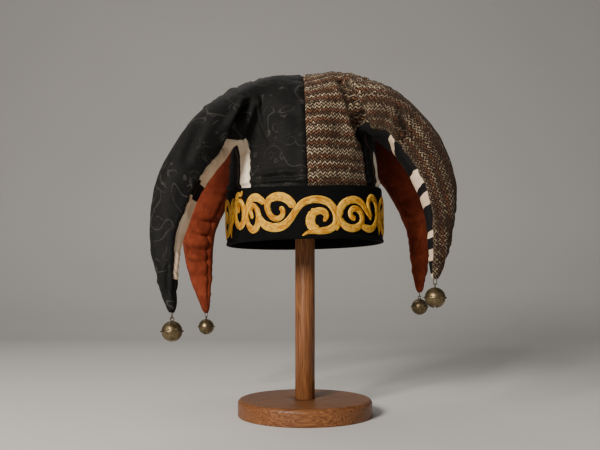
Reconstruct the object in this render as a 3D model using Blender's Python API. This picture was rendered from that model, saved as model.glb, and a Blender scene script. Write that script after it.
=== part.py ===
"""A jester hat with four drooping lobes and bells, on a turned wooden display stand.

The model is in metres with +Z up, and the front of the hat faces -Y. Sizes below are in
millimetres. Plan angles are in degrees from the front, positive towards +X.
"""

import math
from collections import namedtuple

import bmesh
import bpy
from mathutils import Matrix, Vector
from mathutils.geometry import delaunay_2d_cdt

MM = 0.001
UP = Vector((0.0, 0.0, 1.0))

# Gap that neighbouring pieces keep, and the cloth of the hat
FIT_GAP = 0.3
CLOTH = 2.0
SEAM_INSET = 0.3

# Stand
BASE_RADIUS = 75.0
BASE_THICKNESS = 19.0
BASE_EDGE_ROUND = 4.5
POST_RADIUS = 11.0
SOCKET_DEPTH = 12.0
HEAD_RADIUS = 52.0
HEAD_TOP = 371.4
HEAD_CENTRE = 330.0
STAND_SEGMENTS = 32

# Headband
BAND_HALF_WIDTH = 86.7
BAND_HALF_DEPTH = 92.0
BAND_BOTTOM = 190.5
BAND_FRONT_HEIGHT = 53.0
BAND_SIDE_RISE = 6.0
BAND_WALL = 3.0
BAND_HEM_HEIGHT = 3.5
BAND_HEM_SWELL = 1.0
BAND_SEGMENTS = 48
HAT_TILT = math.radians(1.2)

# Crown
HEM_TUCK = 10.0
CROTCH_HEIGHT = 302.0
APEX_HEIGHT = 375.0
CROWN_COLUMNS = 3
SECTION_ROWS = 4
CAGE_SMOOTHING = 1
TIP_RADIUS = 4.6

# Bells
BELL_RADIUS = 10.0
BELL_WALL = 1.0
BELL_RIM = 1.2
BELL_SEGMENTS = 12
SLOT_WIDTH = 1.8
SLOT_REACH = 5.0
SLOT_HOLE_RADIUS = 1.9
SLOT_TURN = 35.0
SHANK_RADIUS = 1.8
SHANK_WIRE = 0.55
PELLET_RADIUS = 2.4
TIE_THREAD = 0.35
TIE_DROP = 18.0

# Scroll embroidery, drawn flat along the headband before it is bent round it
SCROLL_RIBBON = 6.4
SCROLL_RELIEF = 1.1
SCROLL_STEP = 7.5
SCROLL_PITCH = 20.3
BAND_MEAN_RADIUS = (BAND_HALF_WIDTH + BAND_HALF_DEPTH) / 2.0

Colour = namedtuple("Colour", "red green blue roughness metallic")
COLOURS = {
    "stand_wood": Colour(0.17, 0.065, 0.03, 0.42, 0.0),
    "band_velvet": Colour(0.006, 0.006, 0.007, 0.9, 0.0),
    "scroll_gold": Colour(0.62, 0.36, 0.07, 0.45, 0.0),
    "black_damask": Colour(0.017, 0.018, 0.02, 0.7, 0.0),
    "brown_tweed": Colour(0.13, 0.075, 0.045, 0.95, 0.0),
    "striped_cotton": Colour(0.6, 0.5, 0.4, 0.85, 0.0),
    "rust_velvet": Colour(0.36, 0.075, 0.025, 0.85, 0.0),
    "bell_brass": Colour(0.3, 0.22, 0.12, 0.38, 1.0),
    "pellet_steel": Colour(0.35, 0.34, 0.32, 0.4, 1.0),
    "tie_thread": Colour(0.03, 0.025, 0.02, 0.9, 0.0),
}

# The columns where a panel still covers the crown, from the seam between two lobes: how far
# the ridge has run out, and how far the section bulges at its foot (upwards) and at the
# ridge (sideways). The ridge's heights there are the crown_ridge of each lobe.
CrownColumn = namedtuple("CrownColumn", "ridge_reach foot_rise ridge_bulge")
CROWN_SHAPE = (
    CrownColumn(0.0, 44.0, 50.0),
    CrownColumn(32.0, 42.0, 44.0),
    CrownColumn(64.0, 34.0, 42.0),
)

# Sections of a lobe from the crotch to the tip: the ridge seam, the under seam, half the
# thickness between them, and how far the section turns to show its face outwards.
Station = namedtuple("Station", "ridge_reach ridge_height under_reach under_height half_thickness turn")
# A lobe: where it points and how far its tip swings from there, the plan angles of its crotch
# and of the seam in the wall below it, the crown's ridge, and its sections.
Lobe = namedtuple("Lobe", "plan_angle tip_swing crotch_angle wall_angle crown_ridge stations")
LOBES = {
    "front_left": Lobe(-49.0, -1.0, -47.0, -41.5, (373.0, 366.0), (
        Station(98.0, 351.0, 82.0, 302.0, 34.0, 0.0),
        Station(133.0, 327.0, 104.0, 287.0, 30.0, 30.0),
        Station(165.0, 290.0, 126.0, 255.0, 28.0, 64.0),
        Station(189.0, 241.0, 146.0, 220.0, 24.0, 78.0),
        Station(195.0, 182.0, 163.0, 174.0, 16.0, 80.0),
        Station(170.0 + TIP_RADIUS, 121.0, 170.0 - TIP_RADIUS, 121.0, TIP_RADIUS, 80.0))),
    "front_right": Lobe(48.0, 1.0, 51.0, 53.0, (376.0, 370.0), (
        Station(98.0, 357.0, 84.0, 306.0, 34.0, 0.0),
        Station(133.0, 335.5, 113.0, 301.0, 30.0, 30.0),
        Station(163.0, 302.0, 125.0, 273.0, 28.0, 64.0),
        Station(187.0, 260.0, 145.0, 241.0, 23.0, 78.0),
        Station(191.0, 209.0, 159.0, 199.0, 16.0, 80.0),
        Station(164.0 + TIP_RADIUS, 148.0, 164.0 - TIP_RADIUS, 148.0, TIP_RADIUS, 80.0))),
    "rear_left": Lobe(-134.0, 0.0, -134.0, -134.0, (375.0, 367.0), (
        Station(97.0, 350.0, 82.0, 302.0, 34.0, 0.0),
        Station(133.0, 325.0, 106.0, 285.0, 31.0, 0.0),
        Station(177.0, 288.0, 138.0, 254.0, 26.0, 0.0),
        Station(217.0, 240.0, 169.0, 218.0, 23.0, 0.0),
        Station(222.0, 190.0, 172.0, 174.0, 19.0, 0.0),
        Station(179.5 + TIP_RADIUS, 113.0, 179.5 - TIP_RADIUS, 113.0, TIP_RADIUS, 0.0))),
    "rear_right": Lobe(132.0, -10.0, 132.0, 132.0, (376.0, 369.0), (
        Station(97.0, 354.0, 84.0, 304.0, 34.0, 0.0),
        Station(131.0, 329.0, 108.0, 289.0, 31.0, 0.0),
        Station(165.0, 292.0, 139.0, 263.0, 24.0, 0.0),
        Station(189.0, 246.0, 160.0, 229.0, 18.0, 0.0),
        Station(191.0, 196.0, 162.0, 187.0, 15.0, 0.0),
        Station(168.0 + TIP_RADIUS, 134.0, 168.0 - TIP_RADIUS, 134.0, TIP_RADIUS, 0.0))),
}

# The eight cloth panels: half of a lobe each, from its ridge and under seams to the seam
# of the crown at the given plan angle. Where the root of the lobe sags below its under
# seam, the belly drop says how far.
Panel = namedtuple("Panel", "name slot lobe seam_angle belly_drop")
PANELS = (
    Panel("front_left_panel", "black_damask", "front_left", 2.0, 0.0),
    Panel("left_side_panel", "striped_cotton", "front_left", -90.0, 56.0),
    Panel("left_rear_side_panel", "rust_velvet", "rear_left", -90.0, 0.0),
    Panel("rear_left_panel", "rust_velvet", "rear_left", -180.0, 0.0),
    Panel("rear_right_panel", "rust_velvet", "rear_right", 180.0, 0.0),
    Panel("right_rear_side_panel", "rust_velvet", "rear_right", 90.0, 0.0),
    Panel("right_side_panel", "striped_cotton", "front_right", 90.0, 68.0),
    Panel("front_right_panel", "brown_tweed", "front_right", 2.0, 0.0),
)

# Rows of the crown wall from the hem inside the band up to the height of the crotches:
# height above the band's top edge, and how far the wall stands inside the band's face.
WallRow = namedtuple("WallRow", "above_band inside_face")
WALL_ROWS = (
    WallRow(-HEM_TUCK, BAND_WALL + FIT_GAP),
    WallRow(0.5, BAND_WALL + FIT_GAP),
    WallRow(12.0, 1.5),
)
CROTCH_INSIDE_FACE = 7.0


# A curl winds from its start angle by its sweep about a point of the band, and shrinks to a
# share of its size. Angles within a curl are mathematical: 0 to the right, 90 upwards.
Curl = namedtuple("Curl", "plan_angle height half_width half_height start sweep inner_share")
FRONT_CURLS = (
    Curl(-53.6, 26.0, 10.5, 15.0, 160.0, -430.0, 0.3),
    Curl(-37.8, 25.5, 11.5, 15.5, 150.0, 450.0, 0.3),
    Curl(-37.8, 25.5, 12.0, 15.8, 200.0, -200.0, 1.0),
    Curl(-17.0, 27.0, 13.0, 15.8, -20.0, 430.0, 0.28),
    Curl(-17.0, 27.0, 15.0, 16.3, 200.0, 125.0, 1.0),
    Curl(11.0, 24.5, 13.5, 15.8, 160.0, -470.0, 0.28),
    Curl(34.7, 25.0, 13.0, 14.8, 140.0, 450.0, 0.28),
    Curl(34.7, 25.0, 13.2, 15.0, 170.0, -150.0, 1.0),
    Curl(54.6, 25.5, 12.8, 15.0, 160.0, -430.0, 0.28),
)
SIDE_CURL = Curl(0.0, 25.0, 13.6, 15.4, 160.0, -430.0, 0.28)
SIDE_CURLS_RIGHT = 6
SIDE_CURLS_LEFT = 5

# A link is a ribbon between two points of the band, bowed sideways by a share of its length.
Link = namedtuple("Link", "start_angle start_height end_angle end_height bow start_width end_width")
FRONT_LINKS = (
    Link(-9.6, 16.5, 4.0, 37.5, 0.06, 6.4, 6.4),
    Link(9.5, 9.0, -2.5, 6.5, -0.1, 6.4, 1.5),
)

# Where two curls meet, a leaf point fills the space between them: its top and foot on the
# band and its widths there.
LEAF_TOP = 35.0
LEAF_FOOT = 6.5
LEAF_WIDTH = 10.5
LEAF_POINT = 2.0


def clear_scene():
    for obj in list(bpy.data.objects):
        bpy.data.objects.remove(obj, do_unlink=True)


def make_material(name):
    colour = COLOURS[name]
    material = bpy.data.materials.new(name)
    material.use_nodes = True
    shader = material.node_tree.nodes["Principled BSDF"]
    shader.inputs["Base Color"].default_value = (colour.red, colour.green, colour.blue, 1.0)
    shader.inputs["Roughness"].default_value = colour.roughness
    shader.inputs["Metallic"].default_value = colour.metallic
    return material


def finish(mesh_data, name, slot, materials, smooth_angle=math.radians(40.0)):
    """Turns a bmesh in millimetres into a named object in metres."""
    bmesh.ops.scale(mesh_data, vec=(MM, MM, MM), verts=mesh_data.verts)
    bmesh.ops.recalc_face_normals(mesh_data, faces=mesh_data.faces)
    mesh = bpy.data.meshes.new(name)
    mesh_data.to_mesh(mesh)
    mesh_data.free()
    mesh.materials.append(materials[slot])
    mesh.shade_smooth()
    mesh.set_sharp_from_angle(angle=smooth_angle)
    obj = bpy.data.objects.new(name, mesh)
    bpy.context.scene.collection.objects.link(obj)
    return obj


def place(point):
    """Leans the hat on the stand: its right side sits a little higher."""
    rise = point[2] - BAND_BOTTOM
    x = point[0] * math.cos(HAT_TILT) - rise * math.sin(HAT_TILT)
    z = BAND_BOTTOM + point[0] * math.sin(HAT_TILT) + rise * math.cos(HAT_TILT)
    return Vector((x, point[1], z))


def direction(plan_angle):
    angle = math.radians(plan_angle)
    return Vector((math.sin(angle), -math.cos(angle), 0.0))


def oval(plan_angle, inside_face, height):
    """A point of the headband's oval, moved inwards from its outer face."""
    angle = math.radians(plan_angle)
    x = (BAND_HALF_WIDTH - inside_face) * math.sin(angle)
    y = -(BAND_HALF_DEPTH - inside_face) * math.cos(angle)
    return Vector((x, y, height))


def band_top(plan_angle):
    return BAND_BOTTOM + BAND_FRONT_HEIGHT + BAND_SIDE_RISE * math.sin(math.radians(plan_angle)) ** 2


def spin_profile(profile, segments):
    """Spins (radius, height) points round Z. The profile starts and ends on the axis."""
    solid = bmesh.new()
    verts = [solid.verts.new((radius, 0.0, height)) for radius, height in profile]
    edges = [solid.edges.new(pair) for pair in zip(verts, verts[1:])]
    bmesh.ops.spin(
        solid, geom=verts + edges, cent=(0, 0, 0), axis=(0, 0, 1), angle=math.tau,
        steps=segments, use_merge=True, use_duplicate=False)
    bmesh.ops.remove_doubles(solid, verts=solid.verts, dist=0.0005)
    return solid


def arc(centre, radius, start, end, steps):
    """(radius, height) points on an arc, with its angles in degrees from the radial direction."""
    points = []
    for step in range(steps + 1):
        angle = math.radians(start + (end - start) * step / steps)
        points.append((centre[0] + radius * math.cos(angle), centre[1] + radius * math.sin(angle)))
    return points


def make_base(materials):
    edge = BASE_RADIUS - BASE_EDGE_ROUND
    foot_round = 1.5
    socket_floor = BASE_THICKNESS - SOCKET_DEPTH
    bore = POST_RADIUS + FIT_GAP
    profile = [(0.0, 0.0)]
    profile += arc((BASE_RADIUS - foot_round, foot_round), foot_round, -90.0, 0.0, 2)
    profile += arc((edge, BASE_THICKNESS - BASE_EDGE_ROUND), BASE_EDGE_ROUND, 0.0, 90.0, 3)
    profile += [(bore, BASE_THICKNESS), (bore, socket_floor), (0.0, socket_floor)]
    return finish(spin_profile(profile, STAND_SEGMENTS), "display_base", "stand_wood", materials)


def make_post(materials):
    """The dowel and, hidden in the crown, the plain turned dome that the hat rests on."""
    foot = BASE_THICKNESS - SOCKET_DEPTH + FIT_GAP
    dome_height = HEAD_TOP - HEAD_CENTRE
    dome = [(HEAD_RADIUS * math.cos(math.radians(turn)), HEAD_CENTRE + dome_height * math.sin(math.radians(turn)))
            for turn in range(0, 90, 18)]
    underside = (POST_RADIUS, HEAD_CENTRE - 22.0)
    profile = [(0.0, foot), (POST_RADIUS - 1.0, foot), (POST_RADIUS, foot + 1.0), underside]
    profile += [(HEAD_RADIUS - 8.0, HEAD_CENTRE - 14.0), (HEAD_RADIUS, HEAD_CENTRE - 6.0)]
    profile += dome + [(0.0, HEAD_TOP)]
    return finish(spin_profile(profile, STAND_SEGMENTS // 2), "display_post", "stand_wood", materials)


def make_band(materials):
    """The velvet headband: an oval tube with a turned hem at its foot."""
    band = bmesh.new()
    rings = []
    for segment in range(BAND_SEGMENTS):
        plan_angle = 360.0 * segment / BAND_SEGMENTS
        top = band_top(plan_angle)
        profile = (
            (-BAND_HEM_SWELL, BAND_BOTTOM), (-BAND_HEM_SWELL, BAND_BOTTOM + BAND_HEM_HEIGHT - 1.0),
            (0.0, BAND_BOTTOM + BAND_HEM_HEIGHT), (0.0, top), (BAND_WALL, top), (BAND_WALL, BAND_BOTTOM))
        ring = [band.verts.new(place(oval(plan_angle, inside, height))) for inside, height in profile]
        rings.append([band.edges.new(pair) for pair in zip(ring, ring[1:] + ring[:1])])
    for ring, following in zip(rings, rings[1:] + rings[:1]):
        bmesh.ops.bridge_loops(band, edges=ring + following)
    return finish(band, "headband", "band_velvet", materials)


def curl_line(curl):
    """The middle line of a curl as (along, height) points of the band laid flat."""
    length = math.radians(abs(curl.sweep)) * (curl.half_width + curl.half_height) / 2.0
    steps = max(6, round(length * (1.0 + curl.inner_share) / 2.0 / SCROLL_STEP))
    centre = math.radians(curl.plan_angle) * BAND_MEAN_RADIUS
    points = []
    for step in range(steps + 1):
        share = (step / steps) ** 1.2
        angle = math.radians(curl.start + curl.sweep * share)
        size = 1.0 - (1.0 - curl.inner_share) * share ** 1.5
        along = centre + curl.half_width * size * math.cos(angle)
        points.append(Vector((along, curl.height + curl.half_height * size * math.sin(angle))))
    return points


def link_line(link):
    start = Vector((math.radians(link.start_angle) * BAND_MEAN_RADIUS, link.start_height))
    end = Vector((math.radians(link.end_angle) * BAND_MEAN_RADIUS, link.end_height))
    run = end - start
    across = Vector((-run.y, run.x))
    steps = max(3, round(run.length / SCROLL_STEP)) if link.bow else 1
    return [start + run * (step / steps) + across * link.bow * math.sin(math.pi * step / steps)
            for step in range(steps + 1)]


def add_ribbon(points, faces, line, start_width, end_width):
    """Adds the quads of one flat ribbon along a line."""
    first = len(points)
    last = len(line) - 1
    for index, point in enumerate(line):
        run = line[min(index + 1, last)] - line[max(index - 1, 0)]
        across = Vector((-run.y, run.x)).normalized()
        half = (start_width + (end_width - start_width) * index / last) / 2.0
        points += [point - across * half, point + across * half]
    for index in range(last):
        corner = first + 2 * index
        faces.append([corner, corner + 2, corner + 3, corner + 1])


def scroll_curls():
    """Every curl of the ornament: the front ones, and alternate ones round to the back seam."""
    curls = list(FRONT_CURLS)
    first, last = FRONT_CURLS[0].plan_angle, FRONT_CURLS[-1].plan_angle
    places = [last + SCROLL_PITCH * step for step in range(1, SIDE_CURLS_RIGHT + 1)]
    places += [first - SCROLL_PITCH * step for step in range(1, SIDE_CURLS_LEFT + 1)]
    for number, plan_angle in enumerate(places):
        start, sweep = (20.0, 430.0) if number % 2 else (160.0, -430.0)
        curls.append(SIDE_CURL._replace(plan_angle=plan_angle, start=start, sweep=sweep))
    return curls


def scroll_leaves(curls):
    """A leaf point between each two neighbouring curls, but for the pair that the long sweep joins."""
    places = sorted({curl.plan_angle for curl in curls})
    leaves = []
    for left, right in zip(places, places[1:]):
        middle = (left + right) / 2.0
        if not left < 0.0 < right:
            leaves.append(Link(middle, LEAF_TOP, middle, LEAF_FOOT, 0.0, LEAF_WIDTH, LEAF_POINT))
    return leaves


def make_scroll(materials):
    """The raised gold scroll: overlapping ribbons fused flat, then bent round the band."""
    points, faces = [], []
    curls = scroll_curls()
    for curl in curls:
        add_ribbon(points, faces, curl_line(curl), SCROLL_RIBBON, SCROLL_RIBBON)
    for link in list(FRONT_LINKS) + scroll_leaves(curls):
        add_ribbon(points, faces, link_line(link), link.start_width, link.end_width)
    flat_points, _, triangles, _, _, sources = delaunay_2d_cdt(points, [], faces, 1, 0.02)
    scroll = bmesh.new()
    verts = [scroll.verts.new((point.x, point.y, 0.0)) for point in flat_points]
    for triangle, source in zip(triangles, sources):
        if source:
            scroll.faces.new([verts[corner] for corner in triangle])
    loose = [vert for vert in scroll.verts if not vert.link_faces]
    bmesh.ops.delete(scroll, geom=loose, context="VERTS")
    bmesh.ops.extrude_face_region(scroll, geom=scroll.faces[:], use_keep_orig=True)
    scroll.verts.ensure_lookup_table()
    count = len(scroll.verts) // 2
    for index, vert in enumerate(scroll.verts):
        stand_off = FIT_GAP + (SCROLL_RELIEF if index >= count else 0.0)
        plan_angle = math.degrees(vert.co.x / BAND_MEAN_RADIUS)
        vert.co = place(oval(plan_angle, -stand_off, BAND_BOTTOM + vert.co.y))
    return finish(scroll, "scroll_embroidery", "scroll_gold", materials)


def bezier(start, start_pull, end, end_pull, share):
    rest = 1.0 - share
    return (start * rest ** 3 + (start + start_pull) * 3.0 * share * rest ** 2
            + (end + end_pull) * 3.0 * share ** 2 * rest + end * share ** 3)


def section(under, ridge, foot_pull, ridge_pull):
    """The points of one section of a panel, from its lower edge to the ridge seam."""
    return [bezier(under, foot_pull, ridge, ridge_pull, row / SECTION_ROWS) for row in range(SECTION_ROWS + 1)]


def crown_columns(lobe, seam_angle, side_angle):
    """The crown's part of a panel: its wall, and its columns from the wall up to the ridge."""
    outwards = direction(lobe.plan_angle)
    ridge_heights = (APEX_HEIGHT,) + lobe.crown_ridge
    wall, columns = [], []
    for index in range(CROWN_COLUMNS + 1):
        share = index / CROWN_COLUMNS
        plan_angle = seam_angle + (lobe.wall_angle - seam_angle) * share
        top = band_top(plan_angle)
        points = [oval(plan_angle, row.inside_face, top + row.above_band) for row in WALL_ROWS]
        height = CROTCH_HEIGHT + (lobe.stations[0].under_height - CROTCH_HEIGHT) * share
        foot = oval(seam_angle + (lobe.crotch_angle - seam_angle) * share, CROTCH_INSIDE_FACE, height)
        wall.append(points + [foot])
        if index == CROWN_COLUMNS:
            break
        shape = CROWN_SHAPE[index]
        ridge = outwards * shape.ridge_reach + UP * ridge_heights[index]
        bulge = direction(seam_angle + (side_angle - seam_angle) * share) * shape.ridge_bulge
        columns.append(section(foot, ridge, UP * shape.foot_rise, bulge))
    return wall, columns


def lobe_columns(lobe, to_seam, belly_drop, crotch):
    """The lobe's part of a panel: one section for each station, from the crotch to the tip."""
    columns = []
    last = len(lobe.stations) - 1
    for index, station in enumerate(lobe.stations):
        plan_angle = lobe.plan_angle + lobe.tip_swing * index / last
        outwards = direction(plan_angle)
        front = direction(plan_angle + 90.0 * (1.0 if lobe.plan_angle < 0.0 else -1.0))
        ridge = outwards * station.ridge_reach + UP * station.ridge_height
        under = outwards * station.under_reach + UP * station.under_height
        if index == 0:
            under = crotch
        middle = (ridge + under) / 2.0
        turn = Matrix.Rotation(math.radians(station.turn), 3, front.cross(ridge - under))
        side = direction(plan_angle + 90.0 * to_seam)
        pull = turn @ side * (station.half_thickness * 4.0 / 3.0)
        foot_pull = pull
        if index == 0:
            foot_pull = pull * 0.55 + UP * (12.0 - belly_drop)
        elif index == 1:
            foot_pull = pull - UP * belly_drop
        columns.append(section(middle + turn @ (under - middle), middle + turn @ (ridge - middle), foot_pull, pull))
    return columns


def add_patch(cage, columns, panel_index):
    rows = [[cage.verts.new(point) for point in column] for column in columns]
    for left, right in zip(rows, rows[1:]):
        for corners in zip(left, right, right[1:], left[1:]):
            face = cage.faces.new(corners)
            face.material_index = panel_index


def hat_cage():
    """The coarse cage of the hat's outer surface, with each face marked with its panel."""
    cage = bmesh.new()
    for index, panel in enumerate(PANELS):
        lobe = LOBES[panel.lobe]
        to_seam = 1.0 if panel.seam_angle > lobe.plan_angle else -1.0
        wall, columns = crown_columns(lobe, panel.seam_angle, lobe.plan_angle + 90.0 * to_seam)
        add_patch(cage, wall, index)
        add_patch(cage, columns + lobe_columns(lobe, to_seam, panel.belly_drop, wall[-1][-1]), index)
    bmesh.ops.remove_doubles(cage, verts=cage.verts, dist=0.01)
    bmesh.ops.recalc_face_normals(cage, faces=cage.faces)
    mesh = bpy.data.meshes.new("hat_cage")
    cage.to_mesh(mesh)
    cage.free()
    return mesh


def hat_surface():
    """The outer surface of all eight panels as one smooth mesh, so that their seams stay aligned."""
    guide = bpy.data.objects.new("hat_cage", hat_cage())
    bpy.context.scene.collection.objects.link(guide)
    smoothing = guide.modifiers.new("smoothing", "SUBSURF")
    smoothing.levels = CAGE_SMOOTHING
    smoothing.render_levels = CAGE_SMOOTHING
    smooth_mesh = bpy.data.meshes.new_from_object(guide.evaluated_get(bpy.context.evaluated_depsgraph_get()))
    bpy.data.objects.remove(guide, do_unlink=True)
    surface = bmesh.new()
    surface.from_mesh(smooth_mesh)
    surface.normal_update()
    crown_top = max(surface.verts, key=lambda vert: vert.co.z)
    if crown_top.normal.z < 0.0:
        bmesh.ops.reverse_faces(surface, faces=surface.faces)
    tuck_hem(surface)
    surface.normal_update()
    return surface


def tuck_hem(surface):
    """Lays the foot of the crown flat against the inside of the headband."""
    for vert in surface.verts:
        plan_angle = math.degrees(math.atan2(vert.co.x / BAND_HALF_WIDTH, -vert.co.y / BAND_HALF_DEPTH))
        above_band = vert.co.z - band_top(plan_angle)
        on_lobe = vert.co.xy.length > oval(plan_angle, -BAND_WALL, 0.0).length
        if on_lobe or above_band > HEM_TUCK / 2.0:
            continue
        inner = oval(plan_angle, BAND_WALL + FIT_GAP, vert.co.z)
        if above_band < 0.0 or vert.co.xy.length > inner.xy.length:
            vert.co = inner


def seam_inset(vert, panel_index):
    """How far a point on the edge of a panel moves into it, so that the seams stay open a little."""
    own = [face for face in vert.link_faces if face.material_index == panel_index]
    on_edge = any(edge.is_boundary for edge in vert.link_edges) or len(own) < len(vert.link_faces)
    if not on_edge:
        return Vector()
    inwards = sum((face.calc_center_median() - vert.co for face in own), Vector())
    inwards -= vert.normal * inwards.dot(vert.normal)
    return inwards.normalized() * SEAM_INSET


def make_panel(surface, panel_index, panel_plan, materials):
    """One cloth panel: its share of the hat's surface, made as thick as the lined cloth."""
    panel = surface.copy()
    inset = {vert.index: seam_inset(vert, panel_index) for vert in panel.verts}
    inwards = panel.verts.layers.float_vector.new("inwards")
    for vert in panel.verts:
        vert[inwards] = -vert.normal * CLOTH
        vert.co += inset[vert.index]
    others = [face for face in panel.faces if face.material_index != panel_index]
    bmesh.ops.delete(panel, geom=others, context="FACES")
    copy = bmesh.ops.extrude_face_region(panel, geom=panel.faces[:], use_keep_orig=True)
    for vert in copy["geom"]:
        if isinstance(vert, bmesh.types.BMVert):
            vert.co += vert[inwards]
    for vert in panel.verts:
        vert.co = place(vert.co)
    for face in panel.faces:
        face.material_index = 0
    return finish(panel, panel_plan.name, panel_plan.slot, materials)


def tip_point(lobe):
    """The middle of the small opening at the tip of a lobe."""
    tip = lobe.stations[-1]
    reach = (tip.ridge_reach + tip.under_reach) / 2.0
    return place(direction(lobe.plan_angle + lobe.tip_swing) * reach + UP * tip.under_height)


def ring_mesh(centre, ring_radius, wire_radius, turn, ring_steps=8, wire_steps=5, stretch=0.0):
    """A wire ring in an upright plane, drawn out to a link where stretch is given."""
    ring = bmesh.new()
    loops = []
    for step in range(ring_steps):
        angle = math.tau * step / ring_steps
        outwards = Vector((math.cos(angle), 0.0, math.sin(angle)))
        middle = outwards * ring_radius + Vector((0.0, 0.0, math.copysign(stretch / 2.0, math.sin(angle + 0.01))))
        wire = []
        for wire_step in range(wire_steps):
            around = math.tau * wire_step / wire_steps
            point = middle + outwards * (wire_radius * math.cos(around))
            point.y = wire_radius * math.sin(around)
            wire.append(ring.verts.new(point))
        loops.append([ring.edges.new(pair) for pair in zip(wire, wire[1:] + wire[:1])])
    for loop, following in zip(loops, loops[1:] + loops[:1]):
        bmesh.ops.bridge_loops(ring, edges=loop + following)
    spin = Matrix.Rotation(turn, 4, "Z")
    bmesh.ops.transform(ring, matrix=Matrix.Translation(centre) @ spin, verts=ring.verts)
    return ring


def hidden_tool(mesh_data, name):
    """A helper for a Boolean: it is drawn as a wire and isn't part of the hat."""
    bmesh.ops.scale(mesh_data, vec=(MM, MM, MM), verts=mesh_data.verts)
    bmesh.ops.recalc_face_normals(mesh_data, faces=mesh_data.faces)
    mesh = bpy.data.meshes.new(name)
    mesh_data.to_mesh(mesh)
    mesh_data.free()
    tool = bpy.data.objects.new(name, mesh)
    tool.hide_render = True
    tool.display_type = "WIRE"
    bpy.context.scene.collection.objects.link(tool)
    return tool


def add_boolean(obj, tool, operation):
    modifier = obj.modifiers.new(operation.lower(), "BOOLEAN")
    modifier.operation = operation
    modifier.object = tool


def bell_body():
    """A bell about its own centre, still solid, with a rim where its halves meet."""
    half_rim = 0.6
    rim_turn = math.degrees(math.asin(half_rim / BELL_RADIUS))
    outside = arc((0.0, 0.0), BELL_RADIUS, -90.0, -rim_turn, 3)
    outside += [(BELL_RADIUS + BELL_RIM, -half_rim), (BELL_RADIUS + BELL_RIM, half_rim)]
    outside += arc((0.0, 0.0), BELL_RADIUS, rim_turn, 90.0, 3)
    return spin_profile(outside, BELL_SEGMENTS)


def cavity_cutter():
    return spin_profile(arc((0.0, 0.0), BELL_RADIUS - BELL_WALL, -90.0, 90.0, 5), BELL_SEGMENTS)


def slot_cutter():
    """The narrow sound slot across the bottom of a bell."""
    cutter = bmesh.new()
    bmesh.ops.create_cube(cutter, size=1.0)
    bmesh.ops.scale(cutter, vec=(2.0 * SLOT_REACH, SLOT_WIDTH, BELL_RADIUS), verts=cutter.verts)
    bmesh.ops.translate(cutter, vec=(0.0, 0.0, -0.8 * BELL_RADIUS), verts=cutter.verts)
    return cutter


def hole_cutter(side):
    """The round hole at one end of the slot."""
    cutter = bmesh.new()
    bmesh.ops.create_cone(
        cutter, cap_ends=True, segments=9, radius1=SLOT_HOLE_RADIUS, radius2=SLOT_HOLE_RADIUS, depth=BELL_RADIUS)
    bmesh.ops.translate(cutter, vec=(SLOT_REACH * side, 0.0, -0.9 * BELL_RADIUS), verts=cutter.verts)
    return cutter


def make_bell(lobe_name, lobe, materials):
    """A bell with its shank, the loose pellet in it and the thread that ties it to the lobe."""
    tip = tip_point(lobe)
    slot_turn = math.radians(lobe.plan_angle + SLOT_TURN)
    centre = tip - Vector((0.0, 0.0, TIE_DROP))
    hang = Matrix.Translation(centre) @ Matrix.Rotation(slot_turn, 4, "Z")
    facet_turn = Matrix.Rotation(math.radians(11.0), 4, "Z")
    body = bell_body()
    bmesh.ops.transform(body, matrix=hang @ facet_turn, verts=body.verts)
    bell = finish(body, f"bell_{lobe_name}", "bell_brass", materials)
    cutters = (cavity_cutter(), slot_cutter(), hole_cutter(-1.0), hole_cutter(1.0))
    bmesh.ops.transform(cutters[0], matrix=facet_turn, verts=cutters[0].verts)
    for number, cutter in enumerate(cutters):
        bmesh.ops.transform(cutter, matrix=hang, verts=cutter.verts)
        add_boolean(bell, hidden_tool(cutter, f"bell_cutter_{lobe_name}_{number}"), "DIFFERENCE")
    shank_centre = centre + Vector((0.0, 0.0, BELL_RADIUS + SHANK_RADIUS - 0.1))
    shank = ring_mesh(shank_centre, SHANK_RADIUS, SHANK_WIRE, slot_turn)
    add_boolean(bell, hidden_tool(shank, f"shank_tool_{lobe_name}"), "UNION")

    pellet = bmesh.new()
    bmesh.ops.create_icosphere(pellet, subdivisions=1, radius=PELLET_RADIUS)
    pellet_drop = BELL_RADIUS - BELL_WALL - PELLET_RADIUS - FIT_GAP
    bmesh.ops.translate(pellet, vec=centre - Vector((0.0, 0.0, pellet_drop)), verts=pellet.verts)
    finish(pellet, f"bell_pellet_{lobe_name}", "pellet_steel", materials)
    make_tie(lobe_name, tip, shank_centre, slot_turn + math.pi / 2.0, materials)


def make_tie(lobe_name, tip, shank_centre, turn, materials):
    """The knot in the tip of the lobe and the loop of thread that it holds the bell by."""
    loop_bottom = shank_centre.z + SHANK_RADIUS - SHANK_WIRE - FIT_GAP - TIE_THREAD
    loop_radius = 1.6
    loop_top = tip.z + 1.2
    stretch = loop_top - loop_bottom - 2.0 * loop_radius
    middle = Vector((tip.x, tip.y, (loop_top + loop_bottom) / 2.0))
    knot_radius = TIP_RADIUS - CLOTH - FIT_GAP - 0.2
    knot = spin_profile([(0.0, 0.0), (knot_radius, 0.6), (knot_radius, 4.0), (0.0, 5.0)], 10)
    bmesh.ops.translate(knot, vec=tip, verts=knot.verts)
    tie = finish(knot, f"bell_tie_{lobe_name}", "tie_thread", materials)
    loop = ring_mesh(middle, loop_radius, TIE_THREAD, turn, stretch=stretch)
    add_boolean(tie, hidden_tool(loop, f"loop_tool_{lobe_name}"), "UNION")


def main():
    clear_scene()
    materials = {name: make_material(name) for name in COLOURS}
    make_base(materials)
    make_post(materials)
    make_band(materials)
    make_scroll(materials)
    surface = hat_surface()
    for index, panel in enumerate(PANELS):
        make_panel(surface, index, panel, materials)
    surface.free()
    for lobe_name, lobe in LOBES.items():
        make_bell(lobe_name, lobe, materials)


main()
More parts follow.
